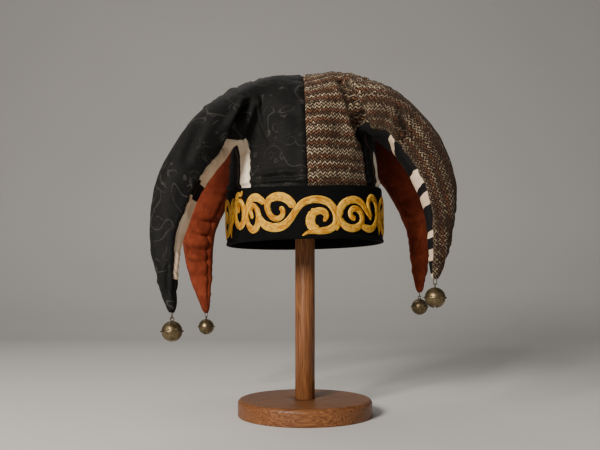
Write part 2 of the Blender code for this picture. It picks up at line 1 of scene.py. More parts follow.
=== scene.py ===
"""A jester hat with four drooping lobes and bells on a turned wooden stand, ready to be looked at.

Sizes are in millimetres until a piece is finished. Plan angles are in degrees from the front of the
hat, positive towards its right-hand side in the picture.
"""

from __future__ import annotations

import logging
import math
from collections.abc import Callable
from dataclasses import dataclass, field
from enum import Enum

import bmesh
import bpy
import numpy as np
from mathutils import Matrix, Vector, noise
from mathutils.kdtree import KDTree


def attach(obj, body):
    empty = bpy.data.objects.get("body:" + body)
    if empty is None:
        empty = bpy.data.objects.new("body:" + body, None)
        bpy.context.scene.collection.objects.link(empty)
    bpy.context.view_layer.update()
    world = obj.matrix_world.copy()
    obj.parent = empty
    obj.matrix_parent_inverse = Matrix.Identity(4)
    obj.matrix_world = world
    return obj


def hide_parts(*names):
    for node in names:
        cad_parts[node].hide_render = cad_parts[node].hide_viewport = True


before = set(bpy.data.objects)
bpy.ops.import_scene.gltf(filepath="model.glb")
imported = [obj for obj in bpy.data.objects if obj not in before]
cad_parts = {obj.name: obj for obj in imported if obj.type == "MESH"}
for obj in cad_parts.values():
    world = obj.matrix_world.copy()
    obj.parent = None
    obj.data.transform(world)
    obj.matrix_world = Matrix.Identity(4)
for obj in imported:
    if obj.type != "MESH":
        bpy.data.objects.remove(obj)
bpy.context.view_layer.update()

logging.basicConfig(level=logging.INFO, format="%(message)s")
report = logging.getLogger("hat")

MM = 0.001
UP = Vector((0.0, 0.0, 1.0))
BODY = "root"

# The picture's camera, in millimetres and picture points
CAMERA_PLACE = Vector((-5.6, -775.0, 140.0))
FOCAL_POINTS = 692.0
PICTURE_WIDTH = 600.0
PICTURE_HEIGHT = 450.0
HORIZON_COLUMN = 300.0
HORIZON_ROW = 290.0

# The headband's oval, and how the hat leans on the stand
BAND_HALF_WIDTH = 86.7
BAND_HALF_DEPTH = 92.0
BAND_BOTTOM = 190.5
BAND_FRONT_HEIGHT = 53.0
BAND_SIDE_RISE = 6.0
BAND_MEAN_RADIUS = (BAND_HALF_WIDTH + BAND_HALF_DEPTH) / 2.0
HAT_TILT = math.radians(1.2)

# How many millimetres of cloth one unit of the cloth coordinates holds
CLOTH_UNIT = 100.0


class Slot(Enum):
    """The record's material slots."""

    WOOD = "stand_wood"
    BAND = "band_velvet"
    SCROLL = "scroll_gold"
    DAMASK = "black_damask"
    TWEED = "brown_tweed"
    STRIPES = "striped_cotton"
    RUST = "rust_velvet"
    BRASS = "bell_brass"
    STEEL = "pellet_steel"
    THREAD = "tie_thread"


class Value:
    """A number that varies over a surface. Arithmetic on it adds Math nodes."""

    def __init__(self, graph: Graph, socket: bpy.types.NodeSocket) -> None:
        """Wraps a socket.

        Args:
            graph: The material's graph.
            socket: An output of one of its nodes.
        """
        self.graph = graph
        self.socket = socket

    def math(self, operation: str, *others: Value | float) -> Value:
        """Adds one Math node.

        Args:
            operation: Blender's name of the operation.
            others: Its other operands.

        Returns:
            The result.
        """
        return self.graph.math(operation, self, *others)

    def __add__(self, other: Value | float) -> Value:
        """Sum."""
        return self.math("ADD", other)

    def __radd__(self, other: float) -> Value:
        """Sum with a number on the left."""
        return self.math("ADD", other)

    def __sub__(self, other: Value | float) -> Value:
        """Difference."""
        return self.math("SUBTRACT", other)

    def __rsub__(self, other: float) -> Value:
        """A number less this."""
        return self.graph.math("SUBTRACT", other, self)

    def __mul__(self, other: Value | float) -> Value:
        """Product."""
        return self.math("MULTIPLY", other)

    def __rmul__(self, other: float) -> Value:
        """Product with a number on the left."""
        return self.math("MULTIPLY", other)

    def __truediv__(self, other: Value | float) -> Value:
        """Quotient."""
        return self.math("DIVIDE", other)

    def __rtruediv__(self, other: float) -> Value:
        """A number divided by this."""
        return self.graph.math("DIVIDE", other, self)

    def fraction(self) -> Value:
        """The part after the point."""
        return self.math("FRACT")

    def size(self) -> Value:
        """The absolute value."""
        return self.math("ABSOLUTE")

    def sine(self) -> Value:
        """The sine of this, in radians."""
        return self.math("SINE")

    def largest(self, other: Value | float) -> Value:
        """The larger of two."""
        return self.math("MAXIMUM", other)

    def rise(self, low: float, high: float) -> Value:
        """A smooth step.

        Args:
            low: Where it leaves 0.
            high: Where it reaches 1. It may lie below low, for a falling step.

        Returns:
            A value from 0 to 1.
        """
        if low > high:
            return 1.0 - self.rise(high, low)
        inputs = {"Value": self, "From Min": low, "From Max": high}
        node = self.graph.node("ShaderNodeMapRange", {"interpolation_type": "SMOOTHSTEP"}, inputs)
        return Value(self.graph, node.outputs[0])


class Graph:
    """The node graph of one material, with its Principled shader."""

    def __init__(self, name: str) -> None:
        """Makes an empty material of that name."""
        self.material = bpy.data.materials.new(name)
        self.material.use_nodes = True
        self.tree = self.material.node_tree
        self.tree.nodes.clear()
        self.shader = self.node("ShaderNodeBsdfPrincipled")
        output = self.node("ShaderNodeOutputMaterial")
        self.tree.links.new(self.shader.outputs[0], output.inputs[0])

    def node(self, kind: str, settings: dict[str, object] | None = None,
             inputs: dict[str | int, object] | None = None) -> bpy.types.Node:
        """Adds a node.

        Args:
            kind: Blender's type name of the node.
            settings: Properties that are set first. "stops" holds a ramp's (place, colour) pairs.
            inputs: Values or links for its sockets, by name or number.

        Returns:
            The node.
        """
        node = self.tree.nodes.new(kind)
        for name, setting in (settings or {}).items():
            if name == "stops":
                for index, (place, colour) in enumerate(setting):
                    elements = node.color_ramp.elements
                    stop = elements[index] if index < 2 else elements.new(place)
                    stop.position = place
                    stop.color = (*colour, 1.0)
            else:
                setattr(node, name, setting)
        for name, given in (inputs or {}).items():
            self.feed(node.inputs[name], given)
        return node

    def feed(self, socket: bpy.types.NodeSocket, given: object) -> None:
        """Fills one input.

        Args:
            socket: The input.
            given: A value or an output to link, or else a number, a vector or a colour to set.
        """
        source = given.socket if isinstance(given, Value) else given
        if isinstance(source, bpy.types.NodeSocket):
            self.tree.links.new(source, socket)
        else:
            socket.default_value = (*given, 1.0) if socket.type == "RGBA" else given

    def math(self, operation: str, *operands: Value | float) -> Value:
        """Adds one Math node and returns its result."""
        node = self.node("ShaderNodeMath", {"operation": operation}, dict(enumerate(operands)))
        return Value(self, node.outputs[0])

    def place(self) -> bpy.types.NodeSocket:
        """The point on the piece, in metres."""
        return self.node("ShaderNodeTexCoord").outputs["Object"]

    def stretched(self, scale: tuple[float, float, float], turn: tuple[float, float, float] = (0.0, 0.0, 0.0)
                  ) -> bpy.types.NodeSocket:
        """The point on the piece, scaled and turned for a pattern with a grain.

        Args:
            scale: A factor for each axis.
            turn: Angles about each axis in radians.

        Returns:
            The vector.
        """
        inputs = {"Vector": self.place(), "Scale": scale, "Rotation": turn}
        return self.node("ShaderNodeMapping", None, inputs).outputs[0]

    def cloth(self) -> tuple[Value, Value]:
        """The place on the cloth: millimetres along it, and across it."""
        uv = self.node("ShaderNodeUVMap", {"uv_map": "cloth"}).outputs[0]
        parts = self.node("ShaderNodeSeparateXYZ", None, {0: uv})
        return Value(self, parts.outputs[0]) * CLOTH_UNIT, Value(self, parts.outputs[1]) * CLOTH_UNIT

    def vector(self, x: Value | float, y: Value | float, z: Value | float = 0.0) -> bpy.types.NodeSocket:
        """Three numbers as a vector."""
        return self.node("ShaderNodeCombineXYZ", None, {0: x, 1: y, 2: z}).outputs[0]

    def grain(self, scale: float, detail: float = 2.0, where: bpy.types.NodeSocket | None = None,
              distortion: float = 0.0) -> Value:
        """Noise of about 0 to 1 round a mean of 0.5.

        Args:
            scale: Features for each unit of the vector.
            detail: Octaves.
            where: The vector, or the point on the piece.
            distortion: How far the noise is bent.

        Returns:
            The noise.
        """
        inputs = {"Vector": where or self.place(), "Scale": scale, "Detail": detail, "Distortion": distortion}
        return Value(self, self.node("ShaderNodeTexNoise", None, inputs).outputs[0])

    def blend(self, share: Value | float, first: object, second: object) -> bpy.types.NodeSocket:
        """Mixes two colours.

        Args:
            share: 0 for the first, 1 for the second.
            first: A colour, or a socket.
            second: A colour, or a socket.

        Returns:
            The mixed colour.
        """
        node = self.node("ShaderNodeMix", {"data_type": "RGBA"}, {0: share, 6: first, 7: second})
        return node.outputs[2]

    def ramp(self, share: Value, *stops: tuple[float, tuple[float, float, float]]) -> bpy.types.NodeSocket:
        """Colours along a value.

        Args:
            share: The value.
            stops: (place, colour) pairs in order.

        Returns:
            The colour.
        """
        return self.node("ShaderNodeValToRGB", {"stops": stops}, {0: share}).outputs[0]

    def bump(self, height: Value, depth_mm: float, strength: float) -> bpy.types.NodeSocket:
        """A bumped normal.

        Args:
            height: The relief from 0 to 1.
            depth_mm: What 1 stands for.
            strength: How much of it shows.

        Returns:
            The normal.
        """
        inputs = {"Strength": strength, "Distance": depth_mm * MM, "Height": height}
        return self.node("ShaderNodeBump", None, inputs).outputs[0]

    def dress(self, **finish: object) -> bpy.types.Material:
        """Sets the shader's sockets, named in small letters with underscores.

        Args:
            finish: A value, a link or a colour for each.

        Returns:
            The material.
        """
        for name, given in finish.items():
            title = name.replace("_", " ").title().replace("Ior", "IOR")
            self.feed(self.shader.inputs[title], given)
        return self.material


@dataclass(frozen=True)
class Velvet:
    """Cut pile: a deep colour with a pale bloom where the pile is brushed. It may carry painted shade that
    darkens it towards a lobe's root, to almost black at the root.
    """

    name: str
    deep: tuple[float, float, float]
    brushed: tuple[float, float, float]
    bloom: tuple[float, float, float]
    bloom_weight: float
    rib_pitch: float = 0.0
    # Painted shade: how far along the cloth, in millimetres, the pile is darkened towards the root; 0 for
    # none.
    painted_root_shade_reach: float = 0.0

    def build(self) -> bpy.types.Material:
        """Builds the material."""
        graph = Graph(self.name)
        along, across = graph.cloth()
        broad = graph.grain(38.0, 3.0, distortion=0.4)
        strokes = graph.grain(1.0, 3.0, graph.vector(along * 0.09, across * 0.14))
        pile = graph.grain(1700.0, 2.0)
        brushing = (broad * 0.55 + strokes * 0.45).rise(0.36, 0.66)
        shade = brushing * 0.5 + pile * 0.4 + 0.06
        height = pile * 0.5 + graph.grain(520.0, 2.0) * 0.5
        if self.rib_pitch:
            rib = (across * (math.tau / self.rib_pitch)).sine() * 0.5 + 0.5
            shade = shade * (0.78 + rib * 0.3)
            height = height * 0.6 + rib * 0.5
        # Painted shade: the colour dims towards the root, for the shadow that falls there.
        if self.painted_root_shade_reach:
            shade = shade * (0.25 + along.rise(self.painted_root_shade_reach * 0.4, self.painted_root_shade_reach) * 0.75)
        colour = graph.blend(shade, self.deep, self.brushed)
        # Painted shadow: nearest the root the colour goes almost black.
        if self.painted_root_shade_reach:
            root = along.rise(self.painted_root_shade_reach * 0.6, self.painted_root_shade_reach * 0.3)
            colour = graph.blend(root * 0.65, colour, (0.004, 0.0012, 0.0008))
        return graph.dress(
            base_color=colour,
            roughness=0.78 + pile * 0.2,
            specular_ior_level=0.08,
            sheen_weight=self.bloom_weight,
            sheen_roughness=0.42,
            sheen_tint=self.bloom,
            normal=graph.bump(height, 0.35, 0.7))


@dataclass(frozen=True)
class Damask:
    """Charcoal cloth with scrolls woven into it in thin grey lines."""

    name: str
    ground: tuple[float, float, float] = (0.004, 0.0037, 0.0034)
    line: tuple[float, float, float] = (0.085, 0.08, 0.074)

    def contour(self, graph: Graph, cloth: bpy.types.NodeSocket, size_mm: float, bends: float,
                count: float, line_mm: float) -> Value:
        """Thin lines that curl round like drawn scrolls.

        Args:
            graph: The material's graph.
            cloth: The place on the cloth in millimetres.
            size_mm: The size of one curl.
            bends: How far the curls are wound.
            count: Lines for each rise of the noise.
            line_mm: The width of a line.

        Returns:
            1 on a line, 0 off it.
        """
        level = graph.grain(1.0 / size_mm, 0.0, cloth, distortion=bends) * count
        width = line_mm * count / size_mm
        return (level.fraction() - 0.5).size().rise(width, width * 0.25)

    def build(self) -> bpy.types.Material:
        """Builds the material."""
        graph = Graph(self.name)
        along, across = graph.cloth()
        cloth = graph.vector(along, across)
        stems = self.contour(graph, cloth, 32.0, 0.8, 3.0, 0.6)
        curls = self.contour(graph, cloth, 13.0, 0.9, 3.4, 0.5)
        sprays = graph.grain(0.045, 1.0, cloth).rise(0.52, 0.6)
        stem_places = graph.grain(0.03, 1.0, graph.vector(across, along, 5.0)).rise(0.42, 0.56)
        motif = (stems * stem_places).largest(curls * sprays)
        broken = graph.grain(0.6, 2.0, cloth).rise(0.3, 0.6)
        motif = motif * (broken * 0.7 + 0.3)
        warp = (along * (math.tau / 0.7)).sine() * 0.5 + 0.5
        weft = (across * (math.tau / 0.8)).sine() * 0.5 + 0.5
        slub = graph.grain(0.9, 3.0, graph.vector(along * 0.15, across * 1.4))
        fleck = graph.grain(2.4, 2.0, cloth).rise(0.52, 0.8)
        tone = graph.blend(motif * 0.42, self.ground, self.line)
        lit = graph.blend(fleck * 0.16 + slub.rise(0.45, 0.8) * 0.1, tone, self.line)
        return graph.dress(
            base_color=lit,
            roughness=0.62 + motif * 0.2 + slub * 0.12,
            specular_ior_level=0.12,
            sheen_weight=0.02,
            sheen_roughness=0.5,
            sheen_tint=(1.0, 0.96, 0.9),
            normal=graph.bump(warp * 0.25 + weft * 0.25 + motif * 0.5 + slub * 0.5, 0.22, 0.8))


@dataclass(frozen=True)
class Tweed:
    """Brown herringbone: zigzag threads of cream, rust and umber in bands, with painted shade that darkens
    the lobe.
    """

    name: str
    chevron: float = 4.8
    slope: float = 1.2
    thread: float = 3.4
    threads_in_band: float = 3.5

    def build(self) -> bpy.types.Material:
        """Builds the material."""
        graph = Graph(self.name)
        along, across = graph.cloth()
        cloth = graph.vector(along, across)
        wobble = graph.grain(0.3, 2.0, cloth) - 0.5
        zigzag = ((along / self.chevron + wobble * 0.4).fraction() - 0.5).size() * (self.chevron * self.slope)
        line = across + zigzag + wobble * 1.4
        raised = ((line / self.thread).fraction() - 0.5).size().rise(0.34, 0.14)
        number = (line / self.thread).math("FLOOR")
        yarn = graph.grain(1.0, 2.0, graph.vector(along * 0.2, number * 3.7, 3.1))
        ply = graph.grain(1.0, 2.0, graph.vector(along * 0.8, number * 5.3, 9.0))
        place_in_band = (number / self.threads_in_band + 0.01).fraction()
        pale_row = place_in_band.rise(0.4, 0.38)
        rust_row = place_in_band.rise(0.6, 0.62)
        pale_share = (pale_row * 0.28 + yarn * 0.95 + ply * 0.55).rise(0.76, 1.1)
        rust_share = (rust_row * 0.3 + yarn * 0.7 + ply * 0.3).rise(0.56, 0.9)
        brown = graph.blend(ply.rise(0.3, 0.7), (0.03, 0.016, 0.009), (0.15, 0.088, 0.048))
        warm = graph.blend(rust_share * 0.8, brown, (0.2, 0.062, 0.024))
        mixed = graph.blend(pale_share * 0.9, warm, (0.31, 0.225, 0.138))
        # Painted shade: on the lobe, past 70 to 110 mm along the cloth, the brightest threads are halved and
        # the cloth is darkened.
        lobe = along.rise(70.0, 110.0)
        bright_share = pale_share * ply.rise(0.45, 0.62) * (1.0 - lobe * 0.5)
        bright = graph.blend(bright_share, mixed, (0.57, 0.455, 0.31))
        gaps = graph.blend(raised, (0.005, 0.003, 0.002), bright)
        fleck = graph.grain(0.75, 3.0, cloth)
        mottle = graph.grain(0.05, 2.0, cloth).rise(0.4, 0.66)
        # Random flecks and mottling darken the cloth, and the lobe term adds painted shade.
        worn = fleck.rise(0.5, 0.36) * 0.62 + lobe * 0.4 + mottle * 0.34
        umber = graph.blend(worn, gaps, (0.014, 0.0065, 0.0035))
        fuzz = graph.grain(1500.0, 2.0)
        return graph.dress(
            base_color=umber,
            roughness=0.88 + fuzz * 0.1,
            specular_ior_level=0.15,
            sheen_weight=0.05,
            sheen_roughness=0.6,
            sheen_tint=(0.9, 0.75, 0.6),
            normal=graph.bump(raised * 0.8 + fuzz * 0.3, 0.5, 0.9))


@dataclass(frozen=True)
class Stripes:
    """Cotton sateen in black and cream stripes that cross the lobe at a slant.

    Each cream stripe has its start and its end, in millimetres along the cloth. The cloth of the crown
    beside the lobe's root is black above an arch, given by the place of its top and its height.
    """

    name: str
    creams: tuple[tuple[float, float], ...]
    slant: float
    # Where a painted highlight runs along the black, in millimetres along the stripes.
    highlight_line: float
    arch: tuple[float, float]
    edge_blur: float = 0.45

    def build(self) -> bpy.types.Material:
        """Builds the material."""
        graph = Graph(self.name)
        along, across = graph.cloth()
        wobble = (graph.grain(0.1, 1.0, graph.vector(along, across)) - 0.5) * 4.0
        run = along + across * self.slant + wobble
        cream = graph.math("ADD", 0.0, 0.0)
        for start, end in self.creams:
            cream = cream + run.rise(start - self.edge_blur, start + self.edge_blur)
            cream = cream - run.rise(end - self.edge_blur, end + self.edge_blur)
        from_middle = (along - self.arch[0]) / 3.0
        over_arch = (across + from_middle * from_middle).rise(self.arch[1] - 0.8, self.arch[1] + 0.8)
        cream = cream * (1.0 - along.rise(76.0, 72.0) * over_arch)
        # Painted highlight: a thin pinkish line in the black stripes.
        highlight_line = (run - self.highlight_line).size().rise(0.7, 0.4)
        warp = (run * (math.tau / 0.55)).sine() * 0.5 + 0.5
        weft = ((across - along * self.slant * 0.2) * (math.tau / 0.6)).sine() * 0.5 + 0.5
        slub = graph.grain(0.7, 3.0, graph.vector(run * 1.4, across * 0.1))
        # Random soiling, plus painted shade that dims the cream on the lobe past 76 to 100 mm along the
        # cloth.
        soil_and_lobe_shade = graph.grain(26.0, 3.0).rise(0.35, 0.7) * 0.26 + along.rise(76.0, 100.0) * 0.5
        pale = graph.blend(soil_and_lobe_shade, (0.86, 0.75, 0.59), (0.42, 0.26, 0.15))
        pale = graph.blend(slub.rise(0.5, 0.75) * 0.22, pale, (0.5, 0.37, 0.27))
        dark = graph.blend(slub, (0.003, 0.003, 0.0032), (0.009, 0.009, 0.0095))
        # The painted highlight tints the black pinkish.
        dark = graph.blend(highlight_line * 0.6, dark, (0.3, 0.13, 0.11))
        return graph.dress(
            base_color=graph.blend(cream, dark, pale),
            roughness=0.6 + slub * 0.25,
            specular_ior_level=0.08,
            sheen_weight=0.006,
            sheen_roughness=0.45,
            sheen_tint=(1.0, 0.95, 0.9),
            normal=graph.bump(warp * 0.5 + weft * 0.4 + slub * 0.5, 0.14, 0.8))


@dataclass(frozen=True)
class GoldStitch:
    """Satin stitch in gold thread, laid across each ribbon of the scroll."""

    name: str
    half_width: float = 3.9

    def build(self) -> bpy.types.Material:
        """Builds the material."""
        graph = Graph(self.name)
        along, across = graph.cloth()
        where = graph.vector(along, across)
        wander = graph.grain(0.12, 2.0, where) - 0.5
        strands = graph.grain(1.0, 3.0, graph.vector(along * 0.2, across * 1.4 + wander * 2.0, 2.0))
        patches = graph.grain(1.0, 2.0, graph.vector(along * 0.07, across * 0.3, 7.0))
        slanted = along + across * 0.3 + wander * 1.2
        thread = (slanted * (math.tau / 0.62)).sine() * 0.5 + 0.5
        edge = (across / self.half_width).size()
        rim = edge.rise(0.6, 1.0)
        middle = edge.rise(0.85, 0.35)
        worn = patches.rise(0.36, 0.66) * (middle * 0.26 + 0.06) + strands.rise(0.4, 0.68) * 0.34
        tone = 0.84 - worn + rim * 0.06 - thread * 0.12
        colour = graph.ramp(
            tone, (0.1, (0.16, 0.038, 0.001)), (0.4, (0.42, 0.15, 0.006)),
            (0.65, (0.7, 0.37, 0.035)), (0.9, (0.96, 0.66, 0.13)))
        return graph.dress(
            base_color=colour,
            roughness=0.45 + strands * 0.2,
            specular_ior_level=0.14,
            specular_tint=(1.0, 0.8, 0.4),
            normal=graph.bump(thread * 0.5 + strands * 0.7, 0.35, 0.9))


@dataclass(frozen=True)
class Wood:
    """Stained hardwood with an oiled finish; the grain follows one axis."""

    name: str
    along: tuple[float, float, float]

    def build(self) -> bpy.types.Material:
        """Builds the material."""
        graph = Graph(self.name)
        where = graph.stretched(self.along)
        rings = graph.grain(1.0, 2.0, where, distortion=0.5)
        figure = ((rings * 9.0).fraction() - 0.5).size() * 2.0
        fibres = graph.grain(9.0, 4.0, where)
        pores = graph.grain(26.0, 2.0, where).rise(0.62, 0.74)
        blotch = graph.grain(20.0, 2.0)
        tone = figure * 0.42 + fibres * 0.5 + blotch * 0.22 - 0.08
        colour = graph.ramp(
            tone, (0.12, (0.07, 0.022, 0.0075)), (0.45, (0.16, 0.059, 0.02)),
            (0.72, (0.25, 0.102, 0.037)), (1.0, (0.37, 0.17, 0.068)))
        worn = graph.blend(pores * 0.6, colour, (0.04, 0.014, 0.007))
        return graph.dress(
            base_color=worn,
            roughness=0.33 + fibres * 0.2 + pores * 0.2,
            specular_ior_level=0.24,
            coat_weight=0.05,
            coat_roughness=0.35,
            normal=graph.bump(fibres * 0.5 - pores * 0.7 + figure * 0.2, 0.12, 0.7))


@dataclass(frozen=True)
class AgedMetal:
    """Metal with a dark skin in patches, bright between them."""

    name: str
    bright: tuple[float, float, float]
    dark: tuple[float, float, float]
    scale: float = 260.0

    def build(self) -> bpy.types.Material:
        """Builds the material."""
        graph = Graph(self.name)
        patches = graph.grain(self.scale, 4.0, distortion=0.5)
        specks = graph.grain(self.scale * 5.0, 2.0)
        skin = (patches * 0.7 + specks * 0.3).rise(0.4, 0.62)
        scratches = graph.grain(self.scale * 2.0, 3.0, graph.stretched((1.0, 1.0, 6.0), (0.3, 0.2, 0.0)))
        return graph.dress(
            base_color=graph.blend(skin * 0.8, self.bright, self.dark),
            metallic=1.0 - skin * 0.25,
            roughness=0.26 + skin * 0.3 + scratches * 0.14,
            normal=graph.bump(patches * 0.6 + specks * 0.25 + scratches * 0.15, 0.12, 0.5))


@dataclass(frozen=True)
class PlainWeave:
    """A close matt weave, for the lining and for thread."""

    name: str
    dark: tuple[float, float, float]
    light: tuple[float, float, float]
    pitch: float = 0.6

    def build(self) -> bpy.types.Material:
        """Builds the material."""
        graph = Graph(self.name)
        where = graph.stretched((1.0, 1.0, 1.0), (0.4, 0.3, 0.2))
        parts = graph.node("ShaderNodeSeparateXYZ", None, {0: where})
        turns = math.tau / (self.pitch * MM)
        warp, weft = (Value(graph, parts.outputs[axis]) * turns for axis in (0, 2))
        weave = warp.sine() * weft.sine()
        uneven = graph.grain(180.0, 3.0)
        return graph.dress(
            base_color=graph.blend(uneven * 0.7 + weave * 0.2, self.dark, self.light),
            roughness=0.85 + uneven * 0.1,
            specular_ior_level=0.2,
            normal=graph.bump(weave * 0.5 + uneven * 0.5, 0.15, 0.6))


def place(point: Vector) -> Vector:
    """Leans the hat on the stand: its right side sits a little higher."""
    rise = point[2] - BAND_BOTTOM
    x = point[0] * math.cos(HAT_TILT) - rise * math.sin(HAT_TILT)
    z = BAND_BOTTOM + point[0] * math.sin(HAT_TILT) + rise * math.cos(HAT_TILT)
    return Vector((x, point[1], z))


def direction(plan_angle: float) -> Vector:
    """The level direction of a plan angle."""
    angle = math.radians(plan_angle)
    return Vector((math.sin(angle), -math.cos(angle), 0.0))


def oval(plan_angle: float, inside_face: float, height: float) -> Vector:
    """A point of the headband's oval, moved inwards from its outer face.

    Args:
        plan_angle: Where round the band.
        inside_face: How far inside the outer face.
        height: The height of the point.

    Returns:
        The point.
    """
    angle = math.radians(plan_angle)
    x = (BAND_HALF_WIDTH - inside_face) * math.sin(angle)
    y = -(BAND_HALF_DEPTH - inside_face) * math.cos(angle)
    return Vector((x, y, height))


def band_top(plan_angle: float) -> float:
    """The height of the band's top edge."""
    return BAND_BOTTOM + BAND_FRONT_HEIGHT + BAND_SIDE_RISE * math.sin(math.radians(plan_angle)) ** 2


def bezier(start: Vector, start_pull: Vector, end: Vector, end_pull: Vector, share: float) -> Vector:
    """A point of a cubic curve with pulls at its ends."""
    rest = 1.0 - share
    return (start * rest ** 3 + (start + start_pull) * 3.0 * share * rest ** 2
            + (end + end_pull) * 3.0 * share ** 2 * rest + end * share ** 3)


def hump(distance: np.ndarray, middle: float, width: float) -> np.ndarray:
    """A smooth rise of 1 round a distance."""
    return np.exp(-((distance - middle) / width) ** 2)


def read(items: bpy.types.bpy_prop_collection, name: str, kind: type, width: int = 1) -> np.ndarray:
    """One property of each item as an array.

    Args:
        items: The items, such as a mesh's vertices.
        name: The property.
        kind: The type of its numbers.
        width: How many numbers it has.

    Returns:
        A number for each item, or a row where the property has several.
    """
    values = np.empty(len(items) * width, kind)
    items.foreach_get(name, values)
    return values.reshape(-1, width) if width > 1 else values


def to_mesh(solid: bmesh.types.BMesh, name: str) -> bpy.types.Mesh:
    """Turns a bmesh, which is used up, into a mesh."""
    mesh = bpy.data.meshes.new(name)
    solid.to_mesh(mesh)
    solid.free()
    return mesh


def add_object(name: str, data: bpy.types.ID) -> bpy.types.Object:
    """Puts a mesh, a light or a camera into the scene."""
    piece = bpy.data.objects.new(name, data)
    bpy.context.scene.collection.objects.link(piece)
    return piece


def subdivide(piece: bpy.types.Object, levels: int) -> bpy.types.SubsurfModifier:
    """Adds a smoothing modifier that looks the same in the view and in the render."""
    smoothing = piece.modifiers.new("smoothing", "SUBSURF")
    smoothing.levels = levels
    smoothing.render_levels = levels
    return smoothing


def modified_mesh(piece: bpy.types.Object) -> bpy.types.Mesh:
    """A new mesh with the shape that the piece's modifiers give it."""
    return bpy.data.meshes.new_from_object(piece.evaluated_get(bpy.context.evaluated_depsgraph_get()))


def weld(solid: bmesh.types.BMesh, distance: float) -> None:
    """Merges the points that lie closer than a distance, and turns the faces outwards."""
    bmesh.ops.remove_doubles(solid, verts=solid.verts, dist=distance)
    bmesh.ops.recalc_face_normals(solid, faces=solid.faces)


def lay_grid(solid: bmesh.types.BMesh, columns: int, rows: int,
             point: Callable[[float, float], Vector],
             cloth: Callable[[float, float], tuple[float, float]]) -> list[bmesh.types.BMFace]:
    """Lays a grid of quads over a surface.

    Args:
        solid: The mesh that it goes into.
        columns: Quads along.
        rows: Quads across.
        point: The place for a column and a row.
        cloth: The cloth coordinates for a column and a row.

    Returns:
        The new faces.
    """
    layer = solid.loops.layers.uv.get("cloth") or solid.loops.layers.uv.new("cloth")
    made = bmesh.ops.create_grid(solid, x_segments=columns, y_segments=rows, size=1.0)["verts"]
    spots = {vert: ((vert.co.x + 1.0) / 2.0 * columns, (vert.co.y + 1.0) / 2.0 * rows) for vert in made}
    faces = {face for vert in made for face in vert.link_faces}
    for face in faces:
        for loop in face.loops:
            loop[layer].uv = cloth(*spots[loop.vert])
    for vert, (column, row) in spots.items():
        vert.co = point(column, row)
    return list(faces)


def spin_profile(profile: list[tuple[float, float]], steps: int) -> bmesh.types.BMesh:
    """Turns a profile of (radius, height) points round Z.

    Args:
        profile: The points, from the axis back to the axis.
        steps: How many steps a turn has.

    Returns:
        The turned solid.
    """
    solid = bmesh.new()
    verts = [solid.verts.new((radius, 0.0, height)) for radius, height in profile]
    edges = [solid.edges.new(pair) for pair in zip(verts, verts[1:])]
    bmesh.ops.spin(solid, geom=verts + edges, cent=(0, 0, 0), axis=(0, 0, 1), angle=math.tau,
                   steps=steps, use_merge=True, use_duplicate=False)
    weld(solid, 0.0005)
    return solid


def arc(centre: tuple[float, float], radius: float, start: float, end: float, steps: int
        ) -> list[tuple[float, float]]:
    """(radius, height) points of an arc, with its angles in degrees from the level."""
    angles = [math.radians(start + (end - start) * step / steps) for step in range(steps + 1)]
    return [(centre[0] + radius * math.cos(angle), centre[1] + radius * math.sin(angle)) for angle in angles]


def finish_piece(solid: bmesh.types.BMesh, name: str, slot: Slot, finishes: list[bpy.types.Material],
                 replaced: tuple[str, ...] = (), sharp: float = 50.0) -> bpy.types.Object:
    """Turns a bmesh in millimetres into a piece in metres that rides on the hat.

    Args:
        solid: The mesh, which is used up.
        name: The piece's name.
        slot: The record's slot for the piece. It is not used.
        finishes: Its materials.
        replaced: The CAD nodes that it stands for.
        sharp: The angle in degrees past which an edge stays sharp.

    Returns:
        The piece.
    """
    bmesh.ops.scale(solid, vec=(MM, MM, MM), verts=solid.verts)
    mesh = to_mesh(solid, name)
    for finish in finishes:
        mesh.materials.append(finish)
    mesh.shade_smooth()
    mesh.set_sharp_from_angle(angle=math.radians(sharp))
    piece = add_object(name, mesh)
    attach(piece, BODY)
    if replaced:
        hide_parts(*replaced)
    report.info("%s: %d faces", name, len(mesh.polygons))
    return piece


